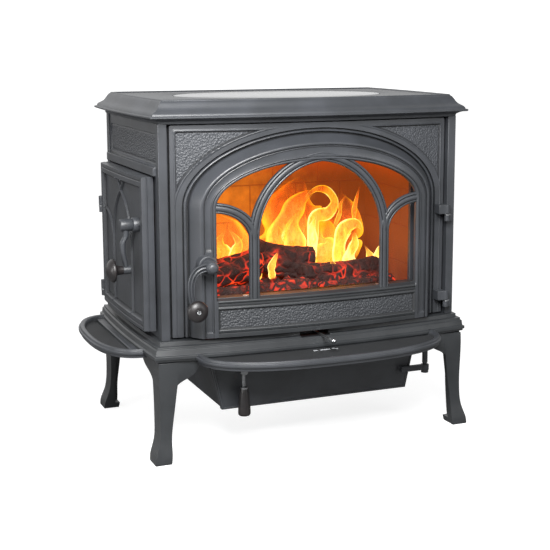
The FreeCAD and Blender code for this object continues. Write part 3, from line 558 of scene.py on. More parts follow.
@dataclass
class Shell:
    """A closed skin put together from grids and caps, in millimetres about the body's middle."""

    name: str
    points: list[Array] = field(default_factory=list)
    marks: list[Array] = field(default_factory=list)
    faces: list[tuple[int, ...]] = field(default_factory=list)
    extra: dict[str, Array] = field(default_factory=dict)
    count: int = 0

    def grid(self, xyz: Array, closed_u: bool = False, closed_v: bool = False,
             mark: Optional[Array] = None) -> "Shell":
        """Add a grid of quads.

        Args:
            xyz: points as (rows, columns, 3).
            closed_u: join the last row to the first.
            closed_v: join the last column to the first.
            mark: a number for each point, kept as an attribute.

        Returns:
            The shell.
        """
        rows, cols = xyz.shape[:2]
        index = np.arange(rows * cols).reshape(rows, cols) + self.count
        if closed_u:
            index = np.vstack([index, index[:1]])
        if closed_v:
            index = np.hstack([index, index[:, :1]])
        quads = np.stack([index[:-1, :-1], index[1:, :-1], index[1:, 1:], index[:-1, 1:]], axis=-1)
        self.faces.extend(map(tuple, quads.reshape(-1, 4).tolist()))
        self._keep(xyz, mark)
        return self

    def cap(self, loop: Array, mark: float = 0.0) -> "Shell":
        """Close a loop of points with one face."""
        self.faces.append(tuple(range(self.count, self.count + len(loop))))
        self._keep(loop, np.full(len(loop), mark))
        return self

    def tube(self, xyz: Array, mark: Optional[Array] = None, last: float = 0.0) -> "Shell":
        """Add rows of closed loops, with a face over the first and one, marked `last`, over the last."""
        return self.grid(xyz, closed_v=True, mark=mark).cap(xyz[0]).cap(xyz[-1], last)

    def _keep(self, xyz: Array, mark: Optional[Array]) -> None:
        """Store points with their marks."""
        flat = np.asarray(xyz, float).reshape(-1, 3)
        self.points.append(flat)
        self.marks.append(np.zeros(len(flat)) if mark is None else np.asarray(mark, float).reshape(-1))
        self.count += len(flat)

    def build(self, body: Body, finish: Any, replaces: Sequence[str] = (), slot: str = PAINTED,
              angle: float = 32.0, attribute: str = "pebble", bevel: float = 0.0) -> Any:
        """Make the object: merge doubles, turn the faces outwards and dress it.

        Args:
            body: the body it rides on.
            finish: its finish.
            replaces: CAD nodes that it stands for.
            slot: not used.
            angle: edges sharper than this, in degrees, stay crisp.
            attribute: name of the number kept on the points.
            bevel: width of the rounded edges, in mm.

        Returns:
            The object.
        """
        cx, cy = body_middle()
        co = np.vstack(self.points) * 0.001 + np.array([cx, cy, 0.0])
        mesh = bpy.data.meshes.new(self.name)
        mesh.from_pydata(co.tolist(), [], self.faces)
        layer = mesh.attributes.new(attribute, "FLOAT", "POINT")
        layer.data.foreach_set("value", np.concatenate(self.marks).astype(np.float32))
        for name, values in self.extra.items():
            more = mesh.attributes.new(name, "FLOAT", "POINT")
            values = values.reshape(-1)
            more.data.foreach_set("value", np.pad(values, (0, self.count - len(values))).astype(np.float32))
        work = bmesh.new()
        work.from_mesh(mesh)
        bmesh.ops.remove_doubles(work, verts=work.verts, dist=8e-6)
        bmesh.ops.recalc_face_normals(work, faces=work.faces)
        work.to_mesh(mesh)
        work.free()
        obj = linked(self.name, mesh)
        smooth_by_angle(mesh, angle)
        if bevel:
            soften(obj, bevel)
        return finish_piece(obj, body, finish, replaces)


def soften(obj: Any, width: float) -> None:
    """Round an object's sharp edges by `width` mm."""
    modifier = obj.modifiers.new("softened", "BEVEL")
    modifier.width = width * 0.001
    modifier.segments = 2
    modifier.limit_method = "ANGLE"
    modifier.angle_limit = math.radians(38.0)
    modifier.use_clamp_overlap = True
    modifier.harden_normals = False


def cast_copy(node: str, body: Body, finish: Any, bevel: float) -> Any:
    """A merged copy of a CAD node with softened edges, standing for it.

    Args:
        node: the CAD node.
        body: the body it rides on.
        finish: its finish.
        bevel: width of the rounded edges, in mm.

    Returns:
        The object.
    """
    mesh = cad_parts[node].data.copy()
    mesh.name = node + "_cast"
    work = bmesh.new()
    work.from_mesh(mesh)
    bmesh.ops.remove_doubles(work, verts=work.verts, dist=1e-5)
    bmesh.ops.dissolve_limit(work, angle_limit=math.radians(0.6), verts=work.verts, edges=work.edges)
    work.to_mesh(mesh)
    work.free()
    obj = linked(node + "_cast", mesh)
    smooth_by_angle(mesh, 38.0)
    soften(obj, bevel)
    return finish_piece(obj, body, finish, (node,))


def stack(x: Any, y: Any, z: Any) -> Array:
    """Points from three coordinate arrays, spread to one shape."""
    parts = [np.asarray(part, float) for part in (x, y, z)]
    return np.stack(np.broadcast_arrays(*parts), axis=-1)


def circle(steps: int) -> Array:
    """Angles of even steps round a full turn."""
    return np.linspace(0.0, 2.0 * np.pi, steps, endpoint=False)


def oval(across: float, out: float, steps: int) -> Array:
    """Closed oval section: (across * cos t, out * sin t)."""
    turn = circle(steps)
    return np.stack([across * np.cos(turn), out * np.sin(turn)], axis=1)


def steady(vector: Sequence[float], steps: int) -> Array:
    """One vector repeated for every step of a path."""
    return np.tile(np.array(vector, float), (steps, 1))


def ease(value: Array, low: float, high: float) -> Array:
    """Smooth rise from 0 at low to 1 at high: 3t^2 - 2t^3."""
    t = np.clip((value - low) / (high - low), 0.0, 1.0)
    return t * t * (3.0 - 2.0 * t)


def ridge(value: Array, low: float, high: float) -> Array:
    """Half sine hump between low and high, nought outside."""
    t = np.clip((value - low) / (high - low), 0.0, 1.0)
    return np.sin(np.pi * t)


def turned(shell: Shell, profile: Sequence[tuple[float, float]], centre: Sequence[float], axis: Axis,
           sides: int = 48) -> Shell:
    """Turn a profile of (radius, distance along the axis) about an axis through `centre`.

    A point at angle t is centre + axis * s + (u cos t + v sin t) * r, with u and v across the axis.
    """
    along = np.array(axis.value)
    across = np.array([0.0, 0.0, 1.0]) if abs(along[2]) < 0.5 else np.array([1.0, 0.0, 0.0])
    other = np.cross(along, across)
    t = circle(sides)
    ring = np.cos(t)[:, None] * across + np.sin(t)[:, None] * other
    rs = np.array(profile, float)
    return shell.tube(np.array(centre, float) + rs[:, None, 1:2] * along + rs[:, None, 0:1] * ring[None])


def swept(shell: Shell, path: Array, across: Array, out: Array, section: Array, scale: Any = 1.0) -> Shell:
    """Carry a closed section along a path.

    Point k of the section at step i is path[i] + across[i] * section[k, 0] + out[i] * section[k, 1].

    Args:
        shell: the shell to add to.
        path: points along the piece, (n, 3).
        across: unit vectors across it, (n, 3).
        out: unit vectors out of it, (n, 3).
        section: closed outline, (k, 2).
        scale: a number or one per step.

    Returns:
        The shell.
    """
    size = np.broadcast_to(np.asarray(scale, float), (len(path),))[:, None, None]
    reach = across[:, None] * section[None, :, 0:1] + out[:, None] * section[None, :, 1:2]
    return shell.tube(path[:, None] + size * reach)


def block(shell: Shell, x: Sequence[float], y: Sequence[float], z: Sequence[float]) -> Shell:
    """Add a closed box between two corners, as a square carried from z[0] to z[1]."""
    loop = np.array([(x[0], y[0]), (x[1], y[0]), (x[1], y[1]), (x[0], y[1])], float)
    return shell.tube(stack(loop[None, :, 0], loop[None, :, 1], np.array(z, float)[:, None]))


def border(grid: Array) -> Array:
    """Loop of points round the edge of a grid."""
    return np.concatenate([grid[0], grid[1:, -1], grid[-1, -2::-1], grid[-2:0:-1, 0]])


def backed(shell: Shell, front: Array, back: Array) -> Shell:
    """Close a relief from behind: walls to the edge of another grid, and one face across that."""
    loops = np.stack([border(front), border(back)])
    return shell.grid(loops, closed_v=True).cap(loops[1])


# ---------------------------------------------------------------- top plate
def bow_radius(half: float, bow: float) -> float:
    """Radius of the arc that bows by `bow` over a chord of 2 * half."""
    return (half * half + bow * bow) / (2.0 * bow)


@dataclass
class BowedSlab:
    """A plate whose four edges follow one moulding and meet in mitres; front and sides are bowed."""

    half_x: float
    front_y: float
    back_y: float
    front_bow: float
    side_bow: float = 9.0
    samples: int = 90

    def outline(self, inset: float) -> Array:
        """Closed loop of (x, y) at one inset, from front left round by the right.

        The front and side edges are arcs whose radii shrink by the inset; the back is a straight line.
        Corners are where two neighbours cross, found by a few rounds of substitution.
        """
        front_r = bow_radius(self.half_x, self.front_bow)
        front_c = self.front_y - self.front_bow + front_r
        side_half = (self.back_y - self.front_y) / 2.0
        side_r = bow_radius(side_half, self.side_bow)
        side_c = self.half_x + self.side_bow - side_r
        middle = (self.front_y + self.back_y) / 2.0
        back = self.back_y - inset
        x, y = self.half_x, self.front_y
        for _ in range(12):
            y = front_c - math.sqrt((front_r - inset) ** 2 - x * x)
            x = side_c + math.sqrt((side_r - inset) ** 2 - (y - middle) ** 2)
        x_back = side_c + math.sqrt((side_r - inset) ** 2 - (back - middle) ** 2)
        front_x = np.linspace(-x, x, self.samples, endpoint=False)
        front = np.stack([front_x, front_c - np.sqrt((front_r - inset) ** 2 - front_x ** 2)], axis=1)
        side_y = np.linspace(y, back, self.samples // 2, endpoint=False)
        right = np.stack([side_c + np.sqrt((side_r - inset) ** 2 - (side_y - middle) ** 2), side_y], axis=1)
        rear_x = np.linspace(x_back, -x_back, self.samples // 2, endpoint=False)
        rear = np.stack([rear_x, np.full_like(rear_x, back)], axis=1)
        left_y = np.linspace(back, y, self.samples // 2, endpoint=False)
        left = np.stack([-side_c - np.sqrt((side_r - inset) ** 2 - (left_y - middle) ** 2), left_y], axis=1)
        return np.vstack([front, right, rear, left])

    def rows(self, profile: Sequence[tuple[float, float]]) -> Array:
        """Loops of the moulding's (inset, z) profile, (rows, points, 3)."""
        loops = [np.column_stack([self.outline(inset), np.full(self.samples + 3 * (self.samples // 2), z)])
                 for inset, z in profile]
        return np.stack(loops)


@dataclass
class TopPlate:
    """Top plate with its ogee edge, raised rim, oval groove and loose oval cover."""

    slab: BowedSlab = field(default_factory=lambda: BowedSlab(352.0, -221.5, 236.0, 30.0))
    cover_x: float = 236.0
    cover_y: float = 150.0
    cover_middle: float = -5.0
    table_z: float = 727.2

    def profile(self) -> list[tuple[float, float]]:
        """Moulding from the neck up: lip band, step, quarter round, cove, small round and rim."""
        return [
            (22.0, 683.0), (21.0, 688.0), (15.0, 691.5), (9.0, 693.6), (1.6, 694.0), (0.6, 694.5), (0.0, 695.4),
            (0.0, 697.6), (0.6, 698.4), (1.6, 698.8), (4.2, 698.9), (4.9, 699.4), (5.4, 701.4), (6.8, 703.6),
            (9.2, 705.6), (12.4, 707.4), (15.8, 709.3), (19.0, 711.8), (21.6, 715.0), (23.8, 718.6),
            (26.0, 722.0), (28.0, 724.8), (30.0, 726.6), (31.6, 727.4), (32.0, 728.3), (32.8, 729.4),
            (34.0, 729.9), (37.0, 729.9), (38.4, 729.5), (39.4, 728.4), (40.2, self.table_z)]

    def ellipse(self, loop: Array, grow: float, z: float) -> Array:
        """Loop on the cover's ellipse, grown by `grow`, in the same directions as another loop's points."""
        angle = np.arctan2(loop[:, 1] - self.cover_middle, loop[:, 0])
        a, b = self.cover_x + grow, self.cover_y + grow
        reach = 1.0 / np.sqrt((np.cos(angle) / a) ** 2 + (np.sin(angle) / b) ** 2)
        return stack(reach * np.cos(angle), reach * np.sin(angle) + self.cover_middle, z)

    def build(self) -> None:
        """Make the plate and its cover."""
        rows = self.slab.rows(self.profile())
        rim, table = rows[-1], self.table_z
        groove = [(2.2, table), (1.4, table - 0.3), (0.9, table - 1.4), (0.9, 723.0)]
        inner = [self.ellipse(rim, grow, z) for grow, z in groove]
        shell = Shell("top_plate_cast").grid(rows, closed_v=True).cap(rows[0])
        shell.grid(np.stack([rim, 0.5 * (rim + inner[0])] + inner), closed_v=True).cap(inner[-1])
        shell.build(Body.STOVE, StovePaint("top_paint", rough=0.42, grain=0.00008), ("top_plate",))
        steps = [(-0.6, 723.4), (-0.6, table - 1.6), (-1.4, table - 0.3), (-3.0, table + 0.1),
                 (-70.0, table + 0.2)]
        cover = Shell("oval_cover_cast").tube(np.stack([self.ellipse(rim, grow, z) for grow, z in steps]))
        cover.build(Body.STOVE, StovePaint("cover_paint", rough=0.3, coat=0.6, grain=0.00004), ("oval_cover",))


# ---------------------------------------------------------------- front door
def on_door(x: Any, z: Any, height: Any) -> Array:
    """Points `height` proud of the bowed leaf: y = middle - sqrt((radius + height)^2 - x^2)."""
    x = np.asarray(x, float)
    y = DOOR_MIDDLE_Y - np.sqrt((DOOR_RADIUS + np.asarray(height, float)) ** 2 - x * x)
    return stack(x, y, z)


@dataclass
class FrontDoor:
    """Bowed front door: leaf with pebbled spandrels, arched boss, tracery and lower panel."""

    half: float = 308.4
    low: float = 253.0
    high: float = 680.0
    arc_steps: int = 241
    leg_runs: tuple[tuple[float, int], ...] = (
        (253.0, 15), (270.0, 14), (320.0, 12), (344.0, 8), (372.0, 46), (440.0, 20), (SPRING_Z, 0))
    hole_half: float = 286.2
    hole_rise: float = 154.2
    thick: float = 10.0

    def legs(self) -> Array:
        """Heights up an upright, closest together where its relief changes."""
        runs = zip(self.leg_runs, self.leg_runs[1:])
        return np.concatenate([np.linspace(low, high, steps, endpoint=False) for (low, steps), (high, _) in runs])

    def arch(self, half: Array, rise: Array) -> tuple[Array, Array]:
        """Upright legs and a half-elliptic head for each (half width, rise), as x and z grids."""
        turn = np.linspace(np.pi, 0.0, self.arc_steps)
        half = np.asarray(half, float)[:, None]
        rise = np.asarray(rise, float)[:, None]
        up = self.legs()[None] + 0 * half
        x = np.hstack([-half + 0 * up, half * np.cos(turn)[None], half + 0 * up])
        z = np.hstack([up, SPRING_Z + rise * np.sin(turn)[None], up[:, ::-1]])
        return x, z

    def rectangle(self) -> tuple[Array, Array]:
        """The leaf's edge sampled to match the arch: up the side, through the corner and over the top."""
        corner = 0.66
        legs = self.legs()
        t = np.linspace(0.0, np.pi, self.arc_steps)
        fold = np.minimum(t, np.pi - t)
        side = np.clip(fold / corner, 0.0, 1.0)
        along = np.clip((fold - corner) / (np.pi / 2 - corner), 0.0, 1.0)
        x = np.where(t < np.pi / 2, -1.0, 1.0) * self.half * (1.0 - along)
        z = SPRING_Z + (self.high - SPRING_Z) * side
        edge = np.full_like(legs, self.half)
        return np.concatenate([-edge, x, edge]), np.concatenate([legs, z, legs[::-1]])

    def spandrel(self, x: Array, z: Array) -> Array:
        """Distance inside the nearer spandrel: two straight sides and an elliptic third."""
        zz = np.maximum(z, SPRING_Z) - SPRING_Z
        reach = np.sqrt((x / 302.0) ** 2 + (zz / 167.0) ** 2) + 1e-9
        slope = np.sqrt((x / 302.0 ** 2) ** 2 + (zz / 167.0 ** 2) ** 2) / reach + 1e-9
        return np.minimum(np.minimum(297.0 - np.abs(x), 667.0 - z), (reach - 1.0) / slope)

    def leaf(self) -> None:
        """The flat leaf round the arch, with recessed pebbled spandrels outlined by a bead."""
        ax, az = self.arch(np.array([self.hole_half]), np.array([self.hole_rise]))
        rx, rz = self.rectangle()
        s = np.concatenate([np.linspace(0.0, 0.985, 56), [0.993]])[:, None]
        x = ax + (rx - ax) * s
        z = az + (rz - az) * s
        inside = self.spandrel(x, z)
        front = on_door(x, z, 1.3 * ridge(inside, -3.8, 0.2) - 4.2 * ease(inside, 0.0, 1.4))
        edge = np.stack([on_door(rx, rz, -0.8), on_door(rx, rz, -self.thick)])
        rows = np.concatenate([front, edge, on_door(ax, az, -self.thick)])
        behind = np.ones((3, x.shape[1]))
        shell = Shell("front_door_leaf")
        shell.grid(rows, closed_u=True, mark=np.concatenate([ease(inside, 2.2, 3.4), 0 * behind]))
        # Painted shade: `groove` darkens the border round each spandrel and, at full strength, the door's edge
        # and back rows.
        shell.extra["groove"] = np.concatenate([0.95 * ridge(inside, -0.2, 3.4), behind])
        shell.cap(rows[:, 0]).cap(rows[:, -1])
        shell.build(Body.FRONT_DOOR, StovePaint(), ("front_door_casting",), angle=40.0)

    def boss(self) -> None:
        """The arched boss: groove, bead, broad bevel, bead, sunk channel and the inner band.

        Each row is (half width, rise, height, kind); kinds 1 to 3 are level with the boss's face, `face`,
        below the heights where their channel opens.
        """
        front = np.array([
            (288.0, 156.0, -7.4, 0), (286.2, 154.2, -7.0, 0), (282.8, 151.2, -7.0, 0), (282.4, 150.8, -0.6, 0),
            (281.2, 149.8, 0.9, 0), (279.4, 148.4, 1.5, 0), (277.6, 147.0, 0.9, 0), (276.6, 146.2, -0.6, 0),
            (276.2, 145.8, -7.0, 0), (272.6, 142.6, -7.0, 0), (272.2, 142.2, 2.6, 0), (271.0, 141.0, 4.8, 0),
            (257.8, 127.2, 22.2, 0), (256.6, 126.0, 23.6, 0), (254.6, 124.4, 24.4, 0), (252.4, 122.6, 24.3, 0),
            (250.9, 121.4, 23.6, 0), (250.3, 120.9, 20.6, 0), (248.5, 119.3, 20.6, 0), (247.9, 118.8, 23.0, 0),
            (247.1, 118.0, 23.4, 0), (246.4, 117.3, 21.0, 1),
            (245.0, 115.0, 20.8, 1), (237.2, 102.6, 20.8, 1), (235.8, 100.4, 21.2, 1), (235.2, 99.8, 23.3, 0),
            (234.2, 98.8, 23.8, 0), (233.0, 97.8, 23.4, 0), (232.6, 97.3, 21.6, 2), (231.6, 96.4, 21.6, 2),
            (231.1, 95.9, 23.3, 0), (229.6, 94.8, 23.8, 0), (227.0, 92.9, 23.5, 3), (225.2, 91.7, 22.2, 3),
            (224.0, 90.8, 20.0, 3), (223.3, 90.2, 17.0, 3), (223.0, 90.0, 14.2, 0)])
        back = np.array([(236.0, 103.0, 14.2, 0), (243.0, 116.0, 14.2, 0), (244.0, 117.0, -9.0, 0),
                         (284.0, 152.0, -9.0, 0)])
        rows = np.vstack([front, back])
        x, z = self.arch(rows[:, 0], rows[:, 1])
        height = np.repeat(rows[:, 2:3], x.shape[1], axis=1)
        kind = np.repeat(rows[:, 3:4], x.shape[1], axis=1)
        left = x < 0
        notch = 1.0 - ease(z, 380.0, 384.0) * (1.0 - ease(z, 429.0, 434.0))
        channel = ease(z, 263.0, 266.0) * np.where(left, notch, 1.0)
        openings = ((1, 23.3, channel), (2, 23.4, ease(z, 261.0, 262.5)), (3, 23.4, ease(z, 326.0, 331.0)))
        for which, face, opened in openings:
            height = np.where(kind == which, face + (height - face) * opened, height)
        xyz = on_door(x, z, height)
        # Painted shade: darkens the grooves beside the beads, the sunk channel and the upward ledge at the end of
        # the left channel's gap.
        soot_and_painted_shade = np.zeros(len(rows))
        soot_and_painted_shade[[1, 2, 8, 9]] = 1.0
        soot_and_painted_shade[[17, 18, 28, 29]] = 0.9
        soot_and_painted_shade[21] = 0.5
        shell = Shell("front_door_arch").grid(xyz, closed_u=True)
        shell.extra["groove"] = soot_and_painted_shade[:, None] + np.where((kind == 1) & left, 0.9 * ridge(z, 427.0, 437.0), 0.0)
        shell.cap(xyz[:, 0]).cap(xyz[:, -1])
        shell.build(Body.FRONT_DOOR, StovePaint("arch_paint", rough=0.36, coat=0.12), angle=34.0)

    def lower_panel(self) -> None:
        """Textured panel under the glass in its double frame, with the sloped sill above it."""
        x = np.linspace(-223.1, 223.1, 300)[None]
        z = np.linspace(self.low, 333.0, 130)[:, None]
        inside = np.minimum(np.minimum(221.0 - np.abs(x), z - 268.5), 310.5 - z)
        height = 23.4 - 3.2 * ease(inside, 0.0, 2.4) + 0.7 * ridge(inside, -4.0, 0.0)
        # Painted shade: darkens the panel's sunk edge and the grooves across its frame and sill.
        soot_and_painted_shade = 0.9 * ridge(inside, -0.2, 3.2)
        for low, high, deep in ((260.4, 263.0, 1.6), (315.4, 318.0, 1.6), (320.6, 323.4, 1.5)):
            height = height - deep * ridge(z, low, high)
            soot_and_painted_shade = np.maximum(soot_and_painted_shade, 0.9 * ridge(z, low, high))
        height = height + 0.6 * ridge(z, 323.4, 328.0) - 9.0 * ease(z, 327.4, 333.0)
        rows = on_door(x, z, height)
        shell = Shell("front_door_panel").grid(rows, mark=ease(inside, 2.0, 3.6))
        shell.extra["groove"] = soot_and_painted_shade
        backed(shell, rows, on_door(x, z, -9.0))
        shell.build(Body.FRONT_DOOR, SHADED_LOWER_PAINT, angle=40.0)

    def bar(self, shell: Shell, x: Array, z: Array) -> None:
        """One tracery bar: a broad round between two narrow ones, carried along a line on the boss."""
        section = np.array([
            (-10.5, -9.0), (-10.5, -4.0), (-9.9, -2.2), (-8.8, -1.2), (-7.4, -0.9), (-6.1, -1.6), (-5.6, -3.4),
            (-4.8, -3.4), (-4.3, -1.2), (-3.0, -0.2), (-1.0, 0.2), (1.0, 0.2), (3.0, -0.2), (4.3, -1.2),
            (4.8, -3.4), (5.6, -3.4), (6.1, -1.6), (7.4, -0.9), (8.8, -1.2), (9.9, -2.2), (10.5, -4.0),
            (10.5, -9.0)])
        bottoms = (6, 7, 14, 15)
        dx, dz = np.gradient(x), np.gradient(z)
        size = np.hypot(dx, dz)
        px = x[:, None] + (dz / size)[:, None] * section[None, :, 0]
        pz = z[:, None] + (-dx / size)[:, None] * section[None, :, 0]
        # Painted shade: the bottoms of the bar's two grooves are marked here.
        painted_shade_marks = np.isin(np.arange(len(section)), bottoms) + np.zeros((len(x), 1))
        shell.tube(on_door(px, pz, 22.4 + section[None, :, 1]), painted_shade_marks)

    def tracery(self) -> None:
        """Two mullions that bend into the middle lancet, and a half arch on each outer side."""
        shell = Shell("front_door_tracery")
        for side in (-1.0, 1.0):
            turn = np.linspace(0.0, 1.50, 60)
            radius, spring = 159.8, 453.5
            x = np.concatenate([np.full(40, -146.0), 13.8 - radius * np.cos(turn)])
            z = np.concatenate([np.linspace(328.0, 452.0, 40), spring + radius * np.sin(turn)])
            self.bar(shell, side * x, z)
            turn = np.linspace(0.0, np.pi / 2, 50)
            self.bar(shell, side * (-230.0 + 84.0 * np.cos(turn)), 450.0 + 66.0 * np.sin(turn))
        # Painted shade: the marked groove bottoms are stored as `groove`, which darkens them.
        shell.build(Body.FRONT_DOOR, StovePaint(), angle=34.0, attribute="groove")

    def build(self) -> None:
        """Make the whole door."""
        self.leaf()
        self.boss()
        self.lower_panel()
        self.tracery()
        cast_copy("front_hinge_lugs", Body.FRONT_DOOR, StovePaint(), 0.9)


def knob(name: str, shape: Sequence[tuple[float, float]], radius: float, tip: float, centre: Sequence[float],
         axis: Axis, body: Body, node: str) -> None:
    """A turned knob.

    Args:
        name: the piece's name.
        shape: (part of the radius, distance along the axis) from the neck to the face.
        radius: the knob's radius.
        tip: distance along the axis at the middle of its face.
        centre: where its neck starts.
        axis: the way it points.
        body: the body it rides on.
        node: the CAD node that it stands for.
    """
    profile = [(radius * part, along) for part, along in shape] + [(0.3, tip)]
    turned(Shell(name), profile, centre, axis, 64).build(body, Moulded(), (node,), "dark_knob", angle=50.0)


@dataclass
class FrontHandle:
    """Hub, curved blade arm and domed knob on the front door."""

    x: float = -247.0
    z: float = 404.0
    knob_x: float = -282.0
    knob_z: float = 322.0
    arm_y: float = -262.0

    def build(self) -> None:
        """Make the escutcheon, hub, arm, knob and screw."""
        turned(Shell("front_escutcheon_cast"),
               [(20.0, -18.0), (20.0, 0.0), (19.4, 1.4), (17.6, 2.2), (15.4, 2.0), (14.6, 1.2), (6.2, 1.2)],
               (self.x, -243.4, self.z), Axis.FORWARD, 64).build(
                   Body.FRONT_DOOR, StovePaint(), ("front_escutcheon",))
        arm = Shell("front_handle_cast")
        turned(arm, [(6.0, -50.0), (6.0, 0.0), (12.4, 0.2), (13.0, 1.0), (13.0, 24.0), (12.4, 26.4), (11.2, 28.2),
                     (10.6, 28.4), (10.2, 29.4), (9.0, 31.4), (6.6, 33.0), (3.6, 33.8), (0.4, 34.0)],
               (self.x, -245.8, self.z), Axis.FORWARD, 56)
        knots = np.array([(-247.0, 403.0), (-258.0, 404.4), (-269.0, 402.4), (-279.0, 395.6), (-285.4, 385.0),
                          (-288.4, 371.0), (-288.6, 356.0), (-286.0, 340.0), (-282.0, 322.0)])
        t = np.linspace(0.0, 1.0, 60)
        at = np.linspace(0.0, 1.0, len(knots))
        curve = [np.polyval(np.polyfit(at, knots[:, k], 6), t) for k in (0, 1)]
        path = stack(curve[0], self.arm_y - 2.0 + 4.0 * t, curve[1])
        step = np.gradient(path, axis=0)
        step /= np.linalg.norm(step, axis=1)[:, None]
        out = steady((0.0, -1.0, 0.0), len(t))
        across = np.cross(step, out)
        across /= np.linalg.norm(across, axis=1)[:, None]
        section = np.array([
            (-6.4, -3.6), (-7.4, -1.0), (-7.2, 2.2), (-6.0, 3.6), (-4.6, 3.2), (-3.8, 1.2), (-2.8, 1.2),
            (-1.8, 3.6), (0.0, 4.8), (1.8, 3.6), (2.8, 1.2), (3.8, 1.2), (4.6, 3.2), (6.0, 3.6),
            (7.2, 2.2), (7.4, -1.0), (6.4, -3.6)])
        swept(arm, path, across, out, section, 1.16 - 0.22 * t)
        turned(arm, [(8.0, -4.0), (9.6, -3.0), (10.0, 1.0), (9.8, 5.0), (9.0, 7.0)],
               (self.knob_x, self.arm_y, self.knob_z), Axis.FORWARD, 40)
        arm.build(Body.FRONT_HANDLE, StovePaint(), ("front_handle_arm",))
        knob("front_knob_turned",
             [(0.40, 0.0), (0.38, 2.0), (0.42, 4.5), (0.60, 6.4), (0.84, 7.2), (0.95, 8.4), (1.0, 10.6),
              (0.99, 13.0), (0.94, 15.4), (0.84, 17.8), (0.68, 20.0), (0.50, 21.6), (0.34, 22.3),
              (0.29, 22.0), (0.26, 20.4)],
             21.6, 20.2, (self.knob_x, -269.0, self.knob_z), Axis.FORWARD, Body.FRONT_HANDLE, "front_knob")
        turned(Shell("front_screw_turned"),
               [(4.4, -3.0), (4.4, 0.6), (3.8, 1.4), (2.2, 1.8), (1.9, 1.0), (0.2, 1.0)],
               (self.knob_x, -291.6, self.knob_z), Axis.FORWARD, 32).build(
                   Body.FRONT_HANDLE, BrightMetal(), ("front_knob_screw",), "chrome")


# ---------------------------------------------------------------- side door
def distance_to_line(y: Array, z: Array, line: Array) -> Array:
    """Least distance from each grid point to a polyline, by clamping its foot on every run."""
    a = line[:-1]
    d = line[1:] - line[:-1]
    py = y[..., None] - a[:, 0]
    pz = z[..., None] - a[:, 1]
    t = np.clip((py * d[:, 0] + pz * d[:, 1]) / (d ** 2).sum(1), 0.0, 1.0)
    return np.sqrt((py - t * d[:, 0]) ** 2 + (pz - t * d[:, 1]) ** 2).min(-1)


